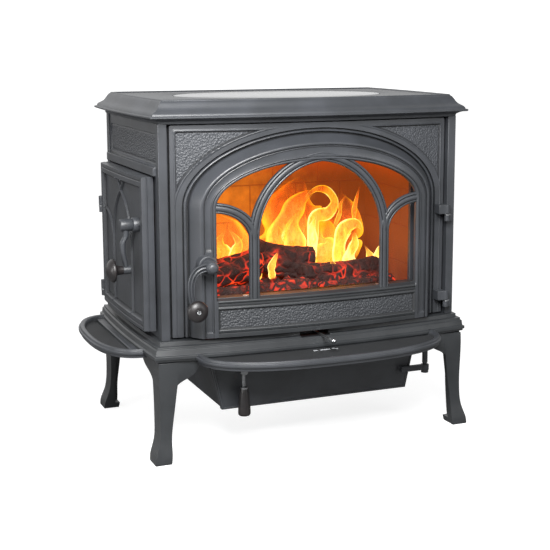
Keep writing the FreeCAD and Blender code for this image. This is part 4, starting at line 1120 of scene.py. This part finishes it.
@dataclass
class SideDoor:
    """Box-framed loading door with a sunk field crossed by gothic ribs, and its crank handle."""

    half: float = 166.0
    low: float = 263.0
    high: float = 577.0
    edge_x: float = -358.0
    bow: float = 5.0
    recess: float = 8.5
    handle_y: float = -117.0
    handle_z: float = 476.0

    def ribs(self) -> list[Array]:
        """Lines of the ribs: two uprights whose arcs cross under the top rail, each with a half arch outside."""
        lines = []
        foot, spring, radius = 73.0, 416.0, 130.0
        for side in (-1.0, 1.0):
            lines.append(np.array([(side * foot, self.low + 10.0), (side * foot, spring)]))
            turn = np.linspace(0.0, 1.12, 30)
            y = side * (foot - radius * (1.0 - np.cos(turn)))
            arc = np.stack([y, spring + radius * np.sin(turn)], axis=1)
            lines.append(np.vstack([arc, (side * -22.0, 556.0)]))
            turn = np.linspace(0.0, np.pi / 2, 24)
            y = side * (foot + 75.0 * (1.0 - np.cos(turn)))
            lines.append(np.stack([y, spring + 62.0 * np.sin(turn)], axis=1))
        return lines

    def build(self) -> None:
        """Make the door, its lugs and its handle."""
        y = np.linspace(-self.half, self.half, 290)[None]
        z = np.linspace(self.low, self.high, 274)[:, None]
        radius = bow_radius(self.half, self.bow)
        outer = self.edge_x - self.bow + radius - np.sqrt(radius ** 2 - y ** 2)
        sides = self.half - np.abs(y)
        ends = np.minimum(z - self.low, self.high - z)
        rim = np.minimum(sides, ends)
        inside = np.minimum(sides - 13.4, ends - 20.0)
        rail_line = ridge(ends, 8.0, 10.4) * (ends < sides + 3.0)
        depth = 6.5 * (1.0 - ease(rim, 0.0, 0.7)) * (rim < 0.8) + 1.1 * rail_line
        depth = depth + self.recess * ease(inside, 0.0, 3.0)
        rib = np.min([distance_to_line(y, z, line) for line in self.ribs()], axis=0)
        lifted = depth - 4.6 * (1.0 - ease(rib, 1.6, 3.2))
        depth = np.where(inside > 0.0, np.minimum(lifted, depth), depth)
        front = stack(outer + depth, y, z)
        back = stack(-333.4, y, z)
        # Painted shade: darkens a band round the sunk field's edge, the field along each rib and the line at the
        # rails.
        soot_and_painted_shade = 0.9 * ridge(inside, 0.6, 7.0) * ease(rib, 1.6, 3.4)
        soot_and_painted_shade = np.maximum(soot_and_painted_shade, 0.7 * ridge(rib, 2.2, 6.0) * ease(inside, 0.5, 2.5))
        shell = Shell("side_door_cast").grid(front)
        shell.extra["groove"] = np.maximum(soot_and_painted_shade, 0.7 * rail_line)
        edge = [border(front)]
        for depth_x, inset in ((-349.0, 0.0), (-348.2, 1.8), (-346.4, 1.8), (-345.8, 0.0)):
            loop = border(back)
            loop[:, 0] = depth_x
            loop[:, 1] -= np.sign(loop[:, 1]) * inset
            edge.append(loop)
        edge.append(border(back))
        shell.grid(np.stack(edge), closed_v=True).cap(edge[-1])
        shell.build(Body.SIDE_DOOR, StovePaint(), ("side_door_casting",), angle=40.0)
        cast_copy("side_hinge_lugs", Body.SIDE_DOOR, StovePaint(), 0.9)
        turned(Shell("side_escutcheon_cast"), [(15.0, -14.0), (15.0, 2.0), (14.4, 3.4), (12.8, 4.2), (6.2, 4.2)],
               (-361.8, self.handle_y, self.handle_z), Axis.LEFT, 48).build(
                   Body.SIDE_DOOR, StovePaint(), ("side_escutcheon",))
        self.crank()

    def crank(self) -> None:
        """Hub with a set screw, bent crank arm and mushroom knob."""
        y, z = self.handle_y, self.handle_z
        shell = Shell("side_crank_cast")
        turned(shell, [(6.0, -28.0), (6.0, 0.0), (12.0, 0.2), (12.5, 1.0), (12.5, 22.0), (12.0, 24.0),
                       (10.4, 25.4), (5.0, 25.8), (0.4, 25.8)], (-366.4, y, z), Axis.LEFT, 48)
        t = np.linspace(0.0, 1.0, 40)
        bend = ease(t, 0.16, 0.36)
        path = stack(-379.0 - 7.0 * bend + 6.0 * ease(t, 0.5, 1.0), y + 0.0 * t, z - 8.0 - 84.0 * t)
        across, out = steady((0.0, 1.0, 0.0), len(t)), steady((-1.0, 0.0, 0.0), len(t))
        swept(shell, path, across, out, oval(6.4, 5.6, 20), 1.12 - 0.18 * t)
        turned(shell, [(7.0, -8.0), (8.6, -7.0), (9.0, 0.0), (8.4, 8.0), (7.6, 9.0)],
               (-378.0, y, z - 92.0), Axis.LEFT, 36)
        shell.build(Body.SIDE_HANDLE, StovePaint(), ("side_handle_crank",))
        turned(Shell("side_set_screw"), [(2.6, -1.0), (2.6, 0.5), (1.4, 0.5), (1.2, -0.4), (0.2, -0.4)],
               (-381.0, y - 11.9, z), Axis.FORWARD, 20).build(Body.SIDE_HANDLE, SootyIron(), (), "steel")
        knob("side_knob_turned",
             [(0.36, 0.0), (0.38, 4.0), (0.42, 12.0), (0.50, 15.0), (0.70, 16.6), (0.92, 17.6), (1.0, 20.0),
              (0.985, 22.6), (0.92, 25.6), (0.80, 28.6), (0.62, 31.4), (0.40, 33.6), (0.18, 34.6)],
             24.0, 34.8, (-386.6, y, z - 92.0), Axis.LEFT, Body.SIDE_HANDLE, "side_knob")


# ---------------------------------------------------------------- ash lips and air control
@dataclass
class AshLips:
    """Front and side ash lips with stepped rims round a sunk floor."""

    power: float = 2.5
    low: float = 205.2
    stretch: float = 1.18
    floor_row: int = 20

    def tray(self, half: float, depth: float, swing: bool, middle: float, back: float) -> Array:
        """Rim and wall rows on half superellipses: |u/a|^p + |v/b|^p = 1 at each inset.

        Args:
            half: half width.
            depth: reach from the back.
            swing: True for the side lip, which points to the left.
            middle: middle of its straight back.
            back: where the back lies.

        Returns:
            Rows from the underside up over the rim to the floor.
        """
        profile = np.array([
            (9.0, 0.0), (5.0, 0.0), (4.2, 0.6), (4.0, 4.6), (3.2, 5.6), (1.0, 6.0), (0.3, 6.6), (0.0, 7.6),
            (0.0, 10.0), (0.4, 11.0), (1.4, 11.5), (2.8, 11.7), (3.2, 12.4), (3.4, 14.4), (4.0, 15.4),
            (5.4, 15.9), (8.0, 15.8), (11.0, 15.2), (13.0, 14.2), (14.2, 12.4), (15.2, 8.6),
            (16.6, 6.6), (19.0, 6.0)])
        turn = np.linspace(0.0, np.pi, 161)
        u = np.sign(np.cos(turn)) * np.abs(np.cos(turn)) ** (2.0 / self.power)
        v = np.clip(np.sin(turn), 0.0, 1.0) ** (2.0 / self.power)
        inset = profile[:, 0:1]
        z = self.low + self.stretch * profile[:, 1:2] + 0 * u
        if swing:
            return stack(back - v * (depth - inset), middle + u * (half - inset), z)
        return stack(middle + u * (half - inset), back - v * (depth - inset), z)

    def build(self) -> None:
        """Make both lips, the strip behind the side lip and the air control's marks."""
        for name, rows in (("front_ash_lip", self.tray(272.0, 132.0, False, 0.0, -232.0)),
                           ("side_ash_lip", self.tray(176.0, 88.0, True, 22.0, -350.0))):
            # Painted shade: the sunk floor rows, from `floor_row` on, and the last cap are darkened through
            # `groove`.
            painted_shade_marks = (np.arange(len(rows)) >= self.floor_row)[:, None] + 0.0 * rows[..., 0]
            shell = Shell(name + "_cast").tube(rows, painted_shade_marks, 1.0)
            shell.build(Body.STOVE, StovePaint(), (name,), attribute="groove")
        strip = Shell("side_lip_strip")
        block(strip, (-375.0, -356.0), (-146.0, 190.0), (self.low + 6.6, self.low + 12.3))
        strip.build(Body.STOVE, StovePaint(), bevel=1.4)
        marks = Shell("air_scale_marks")
        for ends in ((-26.0, -17.0), (-11.0, 11.0)):
            block(marks, ends, (-262.0, -257.0), (self.low + 7.0, self.low + 7.7))
        t = np.linspace(0.0, 1.0, 24)
        path = stack(16.0 + 13.0 * t, -259.0 + 3.4 * np.sin(2 * np.pi * t), self.low + 7.4)
        across, out = steady((0.0, 1.0, 0.0), len(t)), steady((0.0, 0.0, 1.0), len(t))
        swept(marks, path, across, out, np.array([(-1.8, -0.2), (1.8, -0.2), (1.8, 0.3), (-1.8, 0.3)]))
        marks.build(Body.STOVE, PlainMark())


@dataclass
class AirControl:
    """Lever rod with a small waist and its polished ball."""

    y: float = -302.0
    z: float = 240.5
    rod: float = 2.5
    ball: float = 5.5

    def build(self) -> None:
        """Make the lever and the ball."""
        rod = [(self.rod, 0.0), (self.rod, 70.0), (3.4, 72.0), (3.4, 76.0), (2.3, 78.0), (2.3, 88.0)]
        turned(Shell("air_lever_turned"), rod, (0.0, -212.0, self.z), Axis.FORWARD, 28).build(
            Body.AIR, BrightMetal(rough=0.26, name="lever_steel"), ("air_lever",), "steel")
        ball = [(self.ball * math.cos(a), self.ball * math.sin(a)) for a in np.linspace(-1.28, 1.5, 20)]
        turned(Shell("air_ball_turned"), ball, (0.0, self.y, self.z), Axis.FORWARD, 40).build(
            Body.AIR, BrightMetal(), ("air_lever_ball",), "chrome", angle=60.0)


# ---------------------------------------------------------------- fire
@dataclass
class Fire:
    """Logs, ember bed and flames in the firebox."""

    seed: int = 7
    bed_z: float = 262.5

    def log(self, name: str, start: Sequence[float], end: Sequence[float], radius: float, finish: Charred,
            random: np.random.Generator) -> None:
        """One split log: a lumpy bar whose radius wanders with two waves round it and along it."""
        t = np.linspace(0.0, 1.0, 70)[:, None]
        turn = circle(56)[None]
        a, b = np.array(start, float), np.array(end, float)
        along = (b - a) / np.linalg.norm(b - a)
        across = np.cross(along, (0.0, 0.0, 1.0))
        across /= np.linalg.norm(across)
        other = np.cross(along, across)
        phase = random.uniform(0.0, 6.28, 6)
        lump = 1.0 + 0.10 * np.sin(3 * turn + phase[0] + 2 * t) + 0.05 * np.sin(7 * turn + phase[1] - 5 * t)
        lump = lump + 0.05 * np.sin(26 * t + phase[2]) * np.sin(2 * turn + phase[3])
        lump = lump + 0.02 * np.sin(17 * turn + 40 * t)
        ends = 1.0 - 0.25 * (1 - ease(t, 0.0, 0.06)) - 0.25 * ease(t, 0.94, 1.0)
        r = radius * lump * ends
        bend = 6.0 * np.sin(np.pi * t)[..., None] * other
        spoke = np.cos(turn)[..., None] * across + np.sin(turn)[..., None] * other
        shell = Shell(name).tube(a + (b - a) * t[..., None] + bend + r[..., None] * spoke)
        shell.build(Body.STOVE, finish, (), BARE, angle=60.0)

    def embers(self, random: np.random.Generator) -> None:
        """Bed of embers: a mound of sine lumps over a flat foot."""
        x = np.linspace(-238.0, 238.0, 190)[None]
        y = np.linspace(-172.0, 120.0, 110)[:, None]
        height = 47.0 + 0.06 * (y + 172.0) + 0 * x
        for _ in range(40):
            wave = random.uniform(0.03, 0.20, 2)
            phase = random.uniform(0.0, 6.28, 2)
            height = height + 1.9 * np.sin(wave[0] * x + phase[0]) * np.sin(wave[1] * y + phase[1])
        height = np.clip(height, 4.0, 75.0) * ease(238.0 - np.abs(x), 0.0, 14.0) + 1.0
        top = stack(x, y, self.bed_z + height)
        shell = backed(Shell("ember_bed").grid(top), top, stack(x, y, self.bed_z))
        shell.build(Body.STOVE, Charred("embers", 1.0, 52.0, True), (), BARE, angle=70.0)

    def tongue(self, name: str, knots: Sequence[tuple[float, float]], y: float, wide: float, finish: Flame,
               phase: float) -> None:
        """One flame: a thin lens carried along a smooth line and drawn to a point.

        The line is a Catmull-Rom curve through the knots. The half width at t is
        wide * (0.35 + 0.8 sin(pi t^0.7)) (1 - t^3) with two ripples.

        Args:
            name: the piece's name.
            knots: (x, z) of the line, from root to tip.
            y: how deep the flame stands.
            wide: half width.
            finish: its material.
            phase: where its ripples start.
        """
        ends = np.array([knots[0], *knots, knots[-1]], float)
        u = np.linspace(0.0, len(knots) - 1.001, 84)
        i = u.astype(int)
        f = (u - i)[:, None]
        p0, p1, p2, p3 = ends[i], ends[i + 1], ends[i + 2], ends[i + 3]
        line = 0.5 * (2 * p1 + (p2 - p0) * f + (2 * p0 - 5 * p1 + 4 * p2 - p3) * f ** 2
                      + (3 * p1 - p0 - 3 * p2 + p3) * f ** 3)
        t = np.linspace(0.0, 1.0, 84)[:, None]
        turn = circle(28)[None]
        step = np.gradient(line, axis=0)
        step /= np.linalg.norm(step, axis=1)[:, None]
        width = wide * (0.35 + 0.8 * np.sin(np.pi * t ** 0.7)) * (1.0 - t ** 3)
        ripple = 1.0 + 0.16 * np.sin(9.0 * t + phase) + 0.08 * np.sin(21.0 * t + 2 * phase)
        width = np.maximum(width, 0.2) * ripple
        across = width * np.cos(turn)
        depth = y + 0.3 * width * np.sin(turn) + 8.0 * np.sin(3 * t + phase)
        xyz = stack(line[:, :1] + step[:, 1:] * across, depth, line[:, 1:] - step[:, :1] * across)
        shell = Shell(name).tube(xyz, t + 0 * turn)
        shell.extra["edge"] = np.abs(np.cos(turn)) + 0 * t
        shell.build(Body.STOVE, finish, (), "ceramic_glass", angle=70.0, attribute="rise")

    def lining(self) -> None:
        """Lining plates in front of the burn plates, shown glowing."""
        shell = Shell("firebrick_lining")
        block(shell, (-292.0, 292.0), (148.0, 152.0), (271.0, 586.0))
        block(shell, (288.0, 293.0), (-120.0, 148.0), (271.0, 586.0))
        block(shell, (-292.0, 292.0), (-86.0, 148.0), (586.4, 590.6))
        shell.build(Body.STOVE, GlowingBrick(), (), BARE)

    def build(self) -> None:
        """Lay the fire."""
        random = np.random.default_rng(self.seed)
        self.lining()
        self.embers(random)
        black = Charred("charred_wood", 0.62, 40.0)
        red = Charred("glowing_wood", 1.0, 62.0, True)
        self.log("log_left", (-228.0, -70.0, 342.0), (-62.0, -40.0, 366.0), 32.0, black, random)
        self.log("log_middle", (-70.0, -10.0, 382.0), (70.0, -30.0, 350.0), 34.0, black, random)
        self.log("log_right", (24.0, -70.0, 334.0), (232.0, -40.0, 330.0), 27.0, black, random)
        self.log("log_front_left", (-214.0, -150.0, 318.0), (16.0, -138.0, 322.0), 21.0, red, random)
        self.log("log_front_right", (40.0, -140.0, 314.0), (226.0, -120.0, 316.0), 17.0, red, random)
        haze = Flame("flame_haze", 0.36, 0.26)
        soft = Flame("flame_soft", 0.52, 0.55)
        full = Flame("flame_full", 0.74, 0.75)
        bright = Flame("flame_bright", 1.0, 0.9)
        tongues = [
            ([(60, 330), (70, 400), (60, 470), (84, 540)], 60.0, 96.0, haze, 0.5),
            ([(190, 320), (176, 380), (190, 440), (176, 500)], 60.0, 60.0, haze, 1.5),
            ([(-130, 320), (-110, 400), (-130, 470)], 60.0, 60.0, haze, 2.5),
            ([(0, 336), (16, 392), (34, 448), (62, 490), (98, 510)], 10.0, 36.0, soft, 0.3),
            ([(30, 330), (6, 366), (10, 410), (-6, 440)], 26.0, 30.0, soft, 5.3),
            ([(130, 318), (126, 352), (138, 384), (128, 410)], 22.0, 30.0, soft, 2.8),
            ([(-60, 330), (-78, 380), (-66, 420)], 20.0, 24.0, soft, 3.5),
            ([(66, 338), (64, 384), (56, 428), (70, 470)], 20.0, 44.0, soft, 1.2),
            ([(36, 336), (44, 376), (36, 424), (46, 462)], 4.0, 24.0, full, 2.4),
            ([(74, 340), (80, 400), (86, 450), (120, 458), (136, 483), (118, 509), (90, 514), (64, 496),
              (60, 474)], -14.0, 13.0, full, 0.0),
            ([(70, 346), (76, 384), (70, 430), (84, 462)], -24.0, 12.0, bright, 1.9),
            ([(108, 330), (118, 362), (104, 396), (112, 430)], 14.0, 32.0, soft, 4.1),
            ([(158, 322), (148, 372), (160, 420), (190, 430), (208, 404)], -6.0, 18.0, full, 2.2),
            ([(176, 322), (170, 352), (182, 388), (176, 418)], -20.0, 15.0, bright, 0.7),
            ([(206, 318), (222, 346), (210, 380)], -10.0, 12.0, full, 3.3),
            ([(246, 320), (238, 350), (252, 382)], -24.0, 15.0, bright, 5.1),
            ([(-104, 322), (-118, 370), (-106, 408), (-132, 442)], -30.0, 13.0, full, 1.4),
            ([(-146, 318), (-130, 362), (-146, 404), (-128, 436)], -8.0, 22.0, full, 2.9),
            ([(-160, 318), (-176, 368), (-160, 420)], 4.0, 26.0, soft, 0.2),
            ([(-82, 318), (-70, 348), (-92, 392)], -44.0, 10.0, full, 3.8),
            ([(-34, 326), (-40, 358), (-26, 392)], -60.0, 9.0, full, 2.0),
            ([(98, 314), (110, 338), (94, 366)], -70.0, 11.0, full, 0.9),
            ([(146, 420), (160, 452), (160, 476), (174, 500)], 10.0, 5.0, soft, 1.0),
            ([(198, 424), (194, 466), (208, 520)], 16.0, 6.0, soft, 2.6),
        ]
        for number, (knots, y, wide, finish, phase) in enumerate(tongues):
            self.tongue("flame_%02d" % number, knots, y, wide, finish, phase)


# ---------------------------------------------------------------- body and running gear
@dataclass
class Carcass:
    """The plain castings, kept as softened copies of the frame's own solids."""

    painted: tuple[str, ...] = (
        "corner_post_front_left", "corner_post_front_right", "corner_post_rear_left", "corner_post_rear_right",
        "side_panel_left", "side_panel_right", "rear_plate", "front_frame", "front_knuckles", "side_knuckles",
        "ash_housing", "heat_shield", "flue_collar", "leg_bolts")
    legs: tuple[str, ...] = ("leg_front_left", "leg_front_right", "leg_rear_left", "leg_rear_right")
    inner: tuple[str, ...] = ("firebox_floor", "grate", "burn_plate_left", "burn_plate_right", "burn_plate_rear",
                              "baffle", "air_manifold")

    def build(self) -> None:
        """Copy, soften and dress the castings."""
        for node in self.painted:
            cast_copy(node, Body.STOVE, StovePaint(), 0.9)
        for node in self.legs:
            cast_copy(node, Body.STOVE, SHADED_LOWER_PAINT, 2.2)
        for node in self.inner:
            cast_copy(node, Body.STOVE, SootyIron(), 0.8)
        cast_copy("base_plate", Body.STOVE, SHADED_LOWER_PAINT, 0.9)
        cast_copy("ash_door", Body.ASH_DOOR, StovePaint(), 1.2)
        dark_steel = BrightMetal("dark_steel", grey(52, 52, 54), 0.4)
        cast_copy("ash_handle_shaft", Body.ASH_HANDLE, dark_steel, 0.6)
        self.panels()
        self.ash_edge()
        self.grip()

    def panels(self) -> None:
        """Pebbled fields that lie in the sides' sunk upper panels, and washers on the hinges."""
        fields = Shell("side_upper_fields")
        half, low, high = 173.5, 605.0, 661.0
        y = np.linspace(-half, half, 60)[None]
        z = np.linspace(low, high, 20)[:, None]
        rim = np.minimum(half - np.abs(y), np.minimum(z - low, high - z))
        for side in (-1.0, 1.0):
            front = stack(side * (327.4 + 0.8 * ease(rim, 0.0, 6.0)), y, z)
            backed(fields.grid(front, mark=ease(rim, 0.0, 2.0)), front, stack(side * 326.0, y, z))
        fields.build(Body.STOVE, StovePaint())
        washers = Shell("hinge_washers")
        washer = [(3.2, -3.4), (6.6, -3.4), (6.9, -2.9), (6.9, -1.0), (6.4, -0.5), (3.2, -0.5)]
        for x, y, heights in ((308.0, -216.0, (474.0, 284.0)), (-356.0, 174.0, (480.0, 289.0))):
            for z in heights:
                turned(washers, washer, (x, y, z), Axis.UP, 32)
        washers.build(Body.STOVE, BrightMetal(), (), "chrome")

    def ash_edge(self) -> None:
        """Rounded edge along the foot and sides of the ash door."""
        corner = np.array([(-232.0, 200.0), (-209.0, 99.0), (209.0, 99.0), (232.0, 200.0)])
        edge = Shell("ash_door_edge")
        t = np.linspace(0.0, 1.0, 30)[:, None]
        for a, b in zip(corner[:-1], corner[1:]):
            line = a + (b - a) * t
            along = (b - a) / np.linalg.norm(b - a)
            across, out = steady((along[1], 0.0, -along[0]), len(t)), steady((0.0, -1.0, 0.0), len(t))
            swept(edge, stack(line[:, 0], -215.4, line[:, 1]), across, out, oval(2.0, 1.6, 12))
        edge.build(Body.ASH_DOOR, StovePaint(), angle=60.0)

    def grip(self) -> None:
        """Tapered ash-door grip with a bright ferrule at its top."""
        turned(Shell("ash_grip_turned"),
               [(6.6, -93.0), (10.6, -92.6), (12.6, -90.4), (13.0, -86.0), (12.6, -76.0), (11.0, -60.0),
                (9.4, -46.0), (8.2, -38.0), (7.4, -36.6), (4.0, -36.4)],
               (-170.0, -234.6, 178.0), Axis.UP, 40).build(
                   Body.ASH_HANDLE, Moulded(), ("ash_grip",), "dark_knob", angle=50.0)
        turned(Shell("ash_ferrule_turned"),
               [(4.1, -36.5), (7.6, -36.5), (7.9, -35.6), (7.9, -33.4), (7.0, -32.4), (5.4, -32.0), (4.1, -32.0)],
               (-170.0, -234.2, 178.0), Axis.UP, 40).build(
                   Body.ASH_HANDLE, BrightMetal("ferrule_steel", grey(120, 120, 122), 0.3), (), "chrome")


def dress_nodes() -> None:
    """Give every CAD node that is still shown its finish."""
    groups = (
        (StoveGlass(), ("front_glass",)),
        (Rope(), ("front_gasket", "side_gasket")),
        (BrightMetal(rough=0.34, name="clip_steel"), ("glass_clips", "tie_rods", "flue_bolts")),
        (StovePaint("slide_paint", grey(12, 12, 13), grey(18, 18, 19), 0.6), ("air_slide",)),
        (SootyIron(), ("side_door_liner", "ash_pan", "front_latch_cam", "side_latch_cam", "ash_latch_cam")),
    )
    finishes = {name: finish for finish, names in groups for name in names}
    for name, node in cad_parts.items():
        material = dressed(finishes.get(name, StovePaint()))
        node.data.materials.clear()
        node.data.materials.append(material)
        for slot in node.material_slots:
            slot.material = material


# ---------------------------------------------------------------- stage
@dataclass
class Stage:
    """Pale floor, soft lights, the fire's own light and the camera."""

    camera_at: tuple[float, float, float] = (-0.9599, -2.4250, 0.8483)
    camera_turn: tuple[float, float, float] = (80.18, 0.0, -23.09)

    def light(self, name: str, at: Sequence[float], aim: Sequence[float], size: float, power: float) -> None:
        """One square soft light."""
        lamp = bpy.data.lights.new(name, "AREA")
        lamp.size = size
        lamp.energy = power
        obj = linked(name, lamp)
        obj.location = at
        obj.rotation_euler = (Vector(aim) - Vector(at)).to_track_quat("-Z", "Y").to_euler()

    def floor(self) -> None:
        """A wide floor, near white to the camera and darker in the light that it throws back."""
        size = 12.0
        corners = [(-size, -size, 0.0), (size, -size, 0.0), (size, size, 0.0), (-size, size, 0.0)]
        mesh = bpy.data.meshes.new("floor")
        mesh.from_pydata(corners, [], [(0, 1, 2, 3)])
        obj = linked("floor", mesh)
        graph = Graph("floor_paint")
        seen = graph.node("ShaderNodeBsdfPrincipled", None, {
            "Base Color": graph.blend(graph.noise(3.0), (0.42, 0.42, 0.42, 1.0), (0.46, 0.46, 0.46, 1.0)),
            "Roughness": 0.9,
            "Emission Color": WHITE,
            "Emission Strength": 0.78,
        })
        bounced = graph.node("ShaderNodeBsdfDiffuse", None, {"Color": (0.22, 0.22, 0.22, 1.0)})
        camera_ray = graph.node("ShaderNodeLightPath").outputs["Is Camera Ray"]
        shaders = {0: camera_ray, 1: bounced.outputs[0], 2: seen.outputs[0]}
        either = graph.node("ShaderNodeMixShader", None, shaders)
        graph.tree.links.new(either.outputs[0], graph.out.inputs[0])
        mesh.materials.append(graph.material)
        obj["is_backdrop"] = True

    def sky(self, scene: Any) -> None:
        """White surroundings that light the stove mostly from behind, as a studio sweep does."""
        world = bpy.data.worlds.new("soft_white")
        world.use_nodes = True
        tree = world.node_tree
        tree.nodes.clear()
        where = add_node(tree, "ShaderNodeTexCoord").outputs["Generated"]
        parts = add_node(tree, "ShaderNodeSeparateXYZ", None, {0: where})
        spread = add_node(tree, "ShaderNodeMapRange", {"interpolation_type": "SMOOTHSTEP"}, {
            "Value": parts.outputs["Y"], "From Min": -0.15, "From Max": 0.9, "To Min": 0.15, "To Max": 1.25})
        camera_ray = add_node(tree, "ShaderNodeLightPath").outputs["Is Camera Ray"]
        strength = add_node(tree, "ShaderNodeMath", {"operation": "MAXIMUM"},
                            {0: camera_ray, 1: spread.outputs["Result"]})
        back = add_node(tree, "ShaderNodeBackground", None, {"Color": WHITE, "Strength": strength.outputs[0]})
        add_node(tree, "ShaderNodeOutputWorld", None, {0: back.outputs[0]})
        scene.world = world

    def build(self) -> None:
        """Set the stage."""
        scene = bpy.context.scene
        self.sky(scene)
        self.floor()
        self.light("key_soft", (-0.52, -1.3, 1.36), (-0.1, 0.0, 0.45), 0.8, 80.0)
        self.light("left_soft", (-2.2, -0.62, 0.7), (-0.3, 0.0, 0.5), 0.8, 20.0)
        self.light("right_soft", (2.0, -2.4, 1.1), (0.1, 0.0, 0.4), 1.0, 16.0)
        cx, cy = body_middle()
        glow = bpy.data.lights.new("fire_glow", "POINT")
        glow.energy = 0.5
        glow.color = (1.0, 0.42, 0.12)
        glow.shadow_soft_size = 0.08
        linked("fire_glow", glow).location = (cx - 0.05, cy - 0.02, 0.46)
        camera = bpy.data.cameras.new("camera")
        camera.lens = 79.19
        camera.sensor_width = 36.0
        camera.shift_x = -0.05
        camera.shift_y = -0.05
        obj = linked("camera", camera)
        obj.location = self.camera_at
        obj.rotation_euler = Euler([math.radians(a) for a in self.camera_turn], "XYZ")
        scene.camera = obj
        scene.view_settings.view_transform = "Standard"


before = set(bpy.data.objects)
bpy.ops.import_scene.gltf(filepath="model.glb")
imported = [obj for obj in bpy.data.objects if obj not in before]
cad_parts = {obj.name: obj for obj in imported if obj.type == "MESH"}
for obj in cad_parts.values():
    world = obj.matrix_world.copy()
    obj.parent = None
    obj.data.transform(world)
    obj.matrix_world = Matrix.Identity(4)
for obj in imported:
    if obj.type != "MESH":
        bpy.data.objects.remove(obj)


def main() -> None:
    """Build the stove and work out its bounds beside the frame's."""
    logging.basicConfig(level=logging.INFO, format="%(message)s", stream=sys.stdout)
    cad_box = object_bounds()
    dress_nodes()
    parts = (TopPlate(), FrontDoor(), FrontHandle(), SideDoor(), AshLips(), AirControl(), Carcass(), Fire(),
             Stage())
    for part in parts:
        LOG.info("building %s", type(part).__name__)
        part.build()
    sizes = {name: [[float(c) for c in corner] for corner in box]
             for name, box in (("cad", cad_box), ("visual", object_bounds()))}


if __name__ == "__main__":
    main()
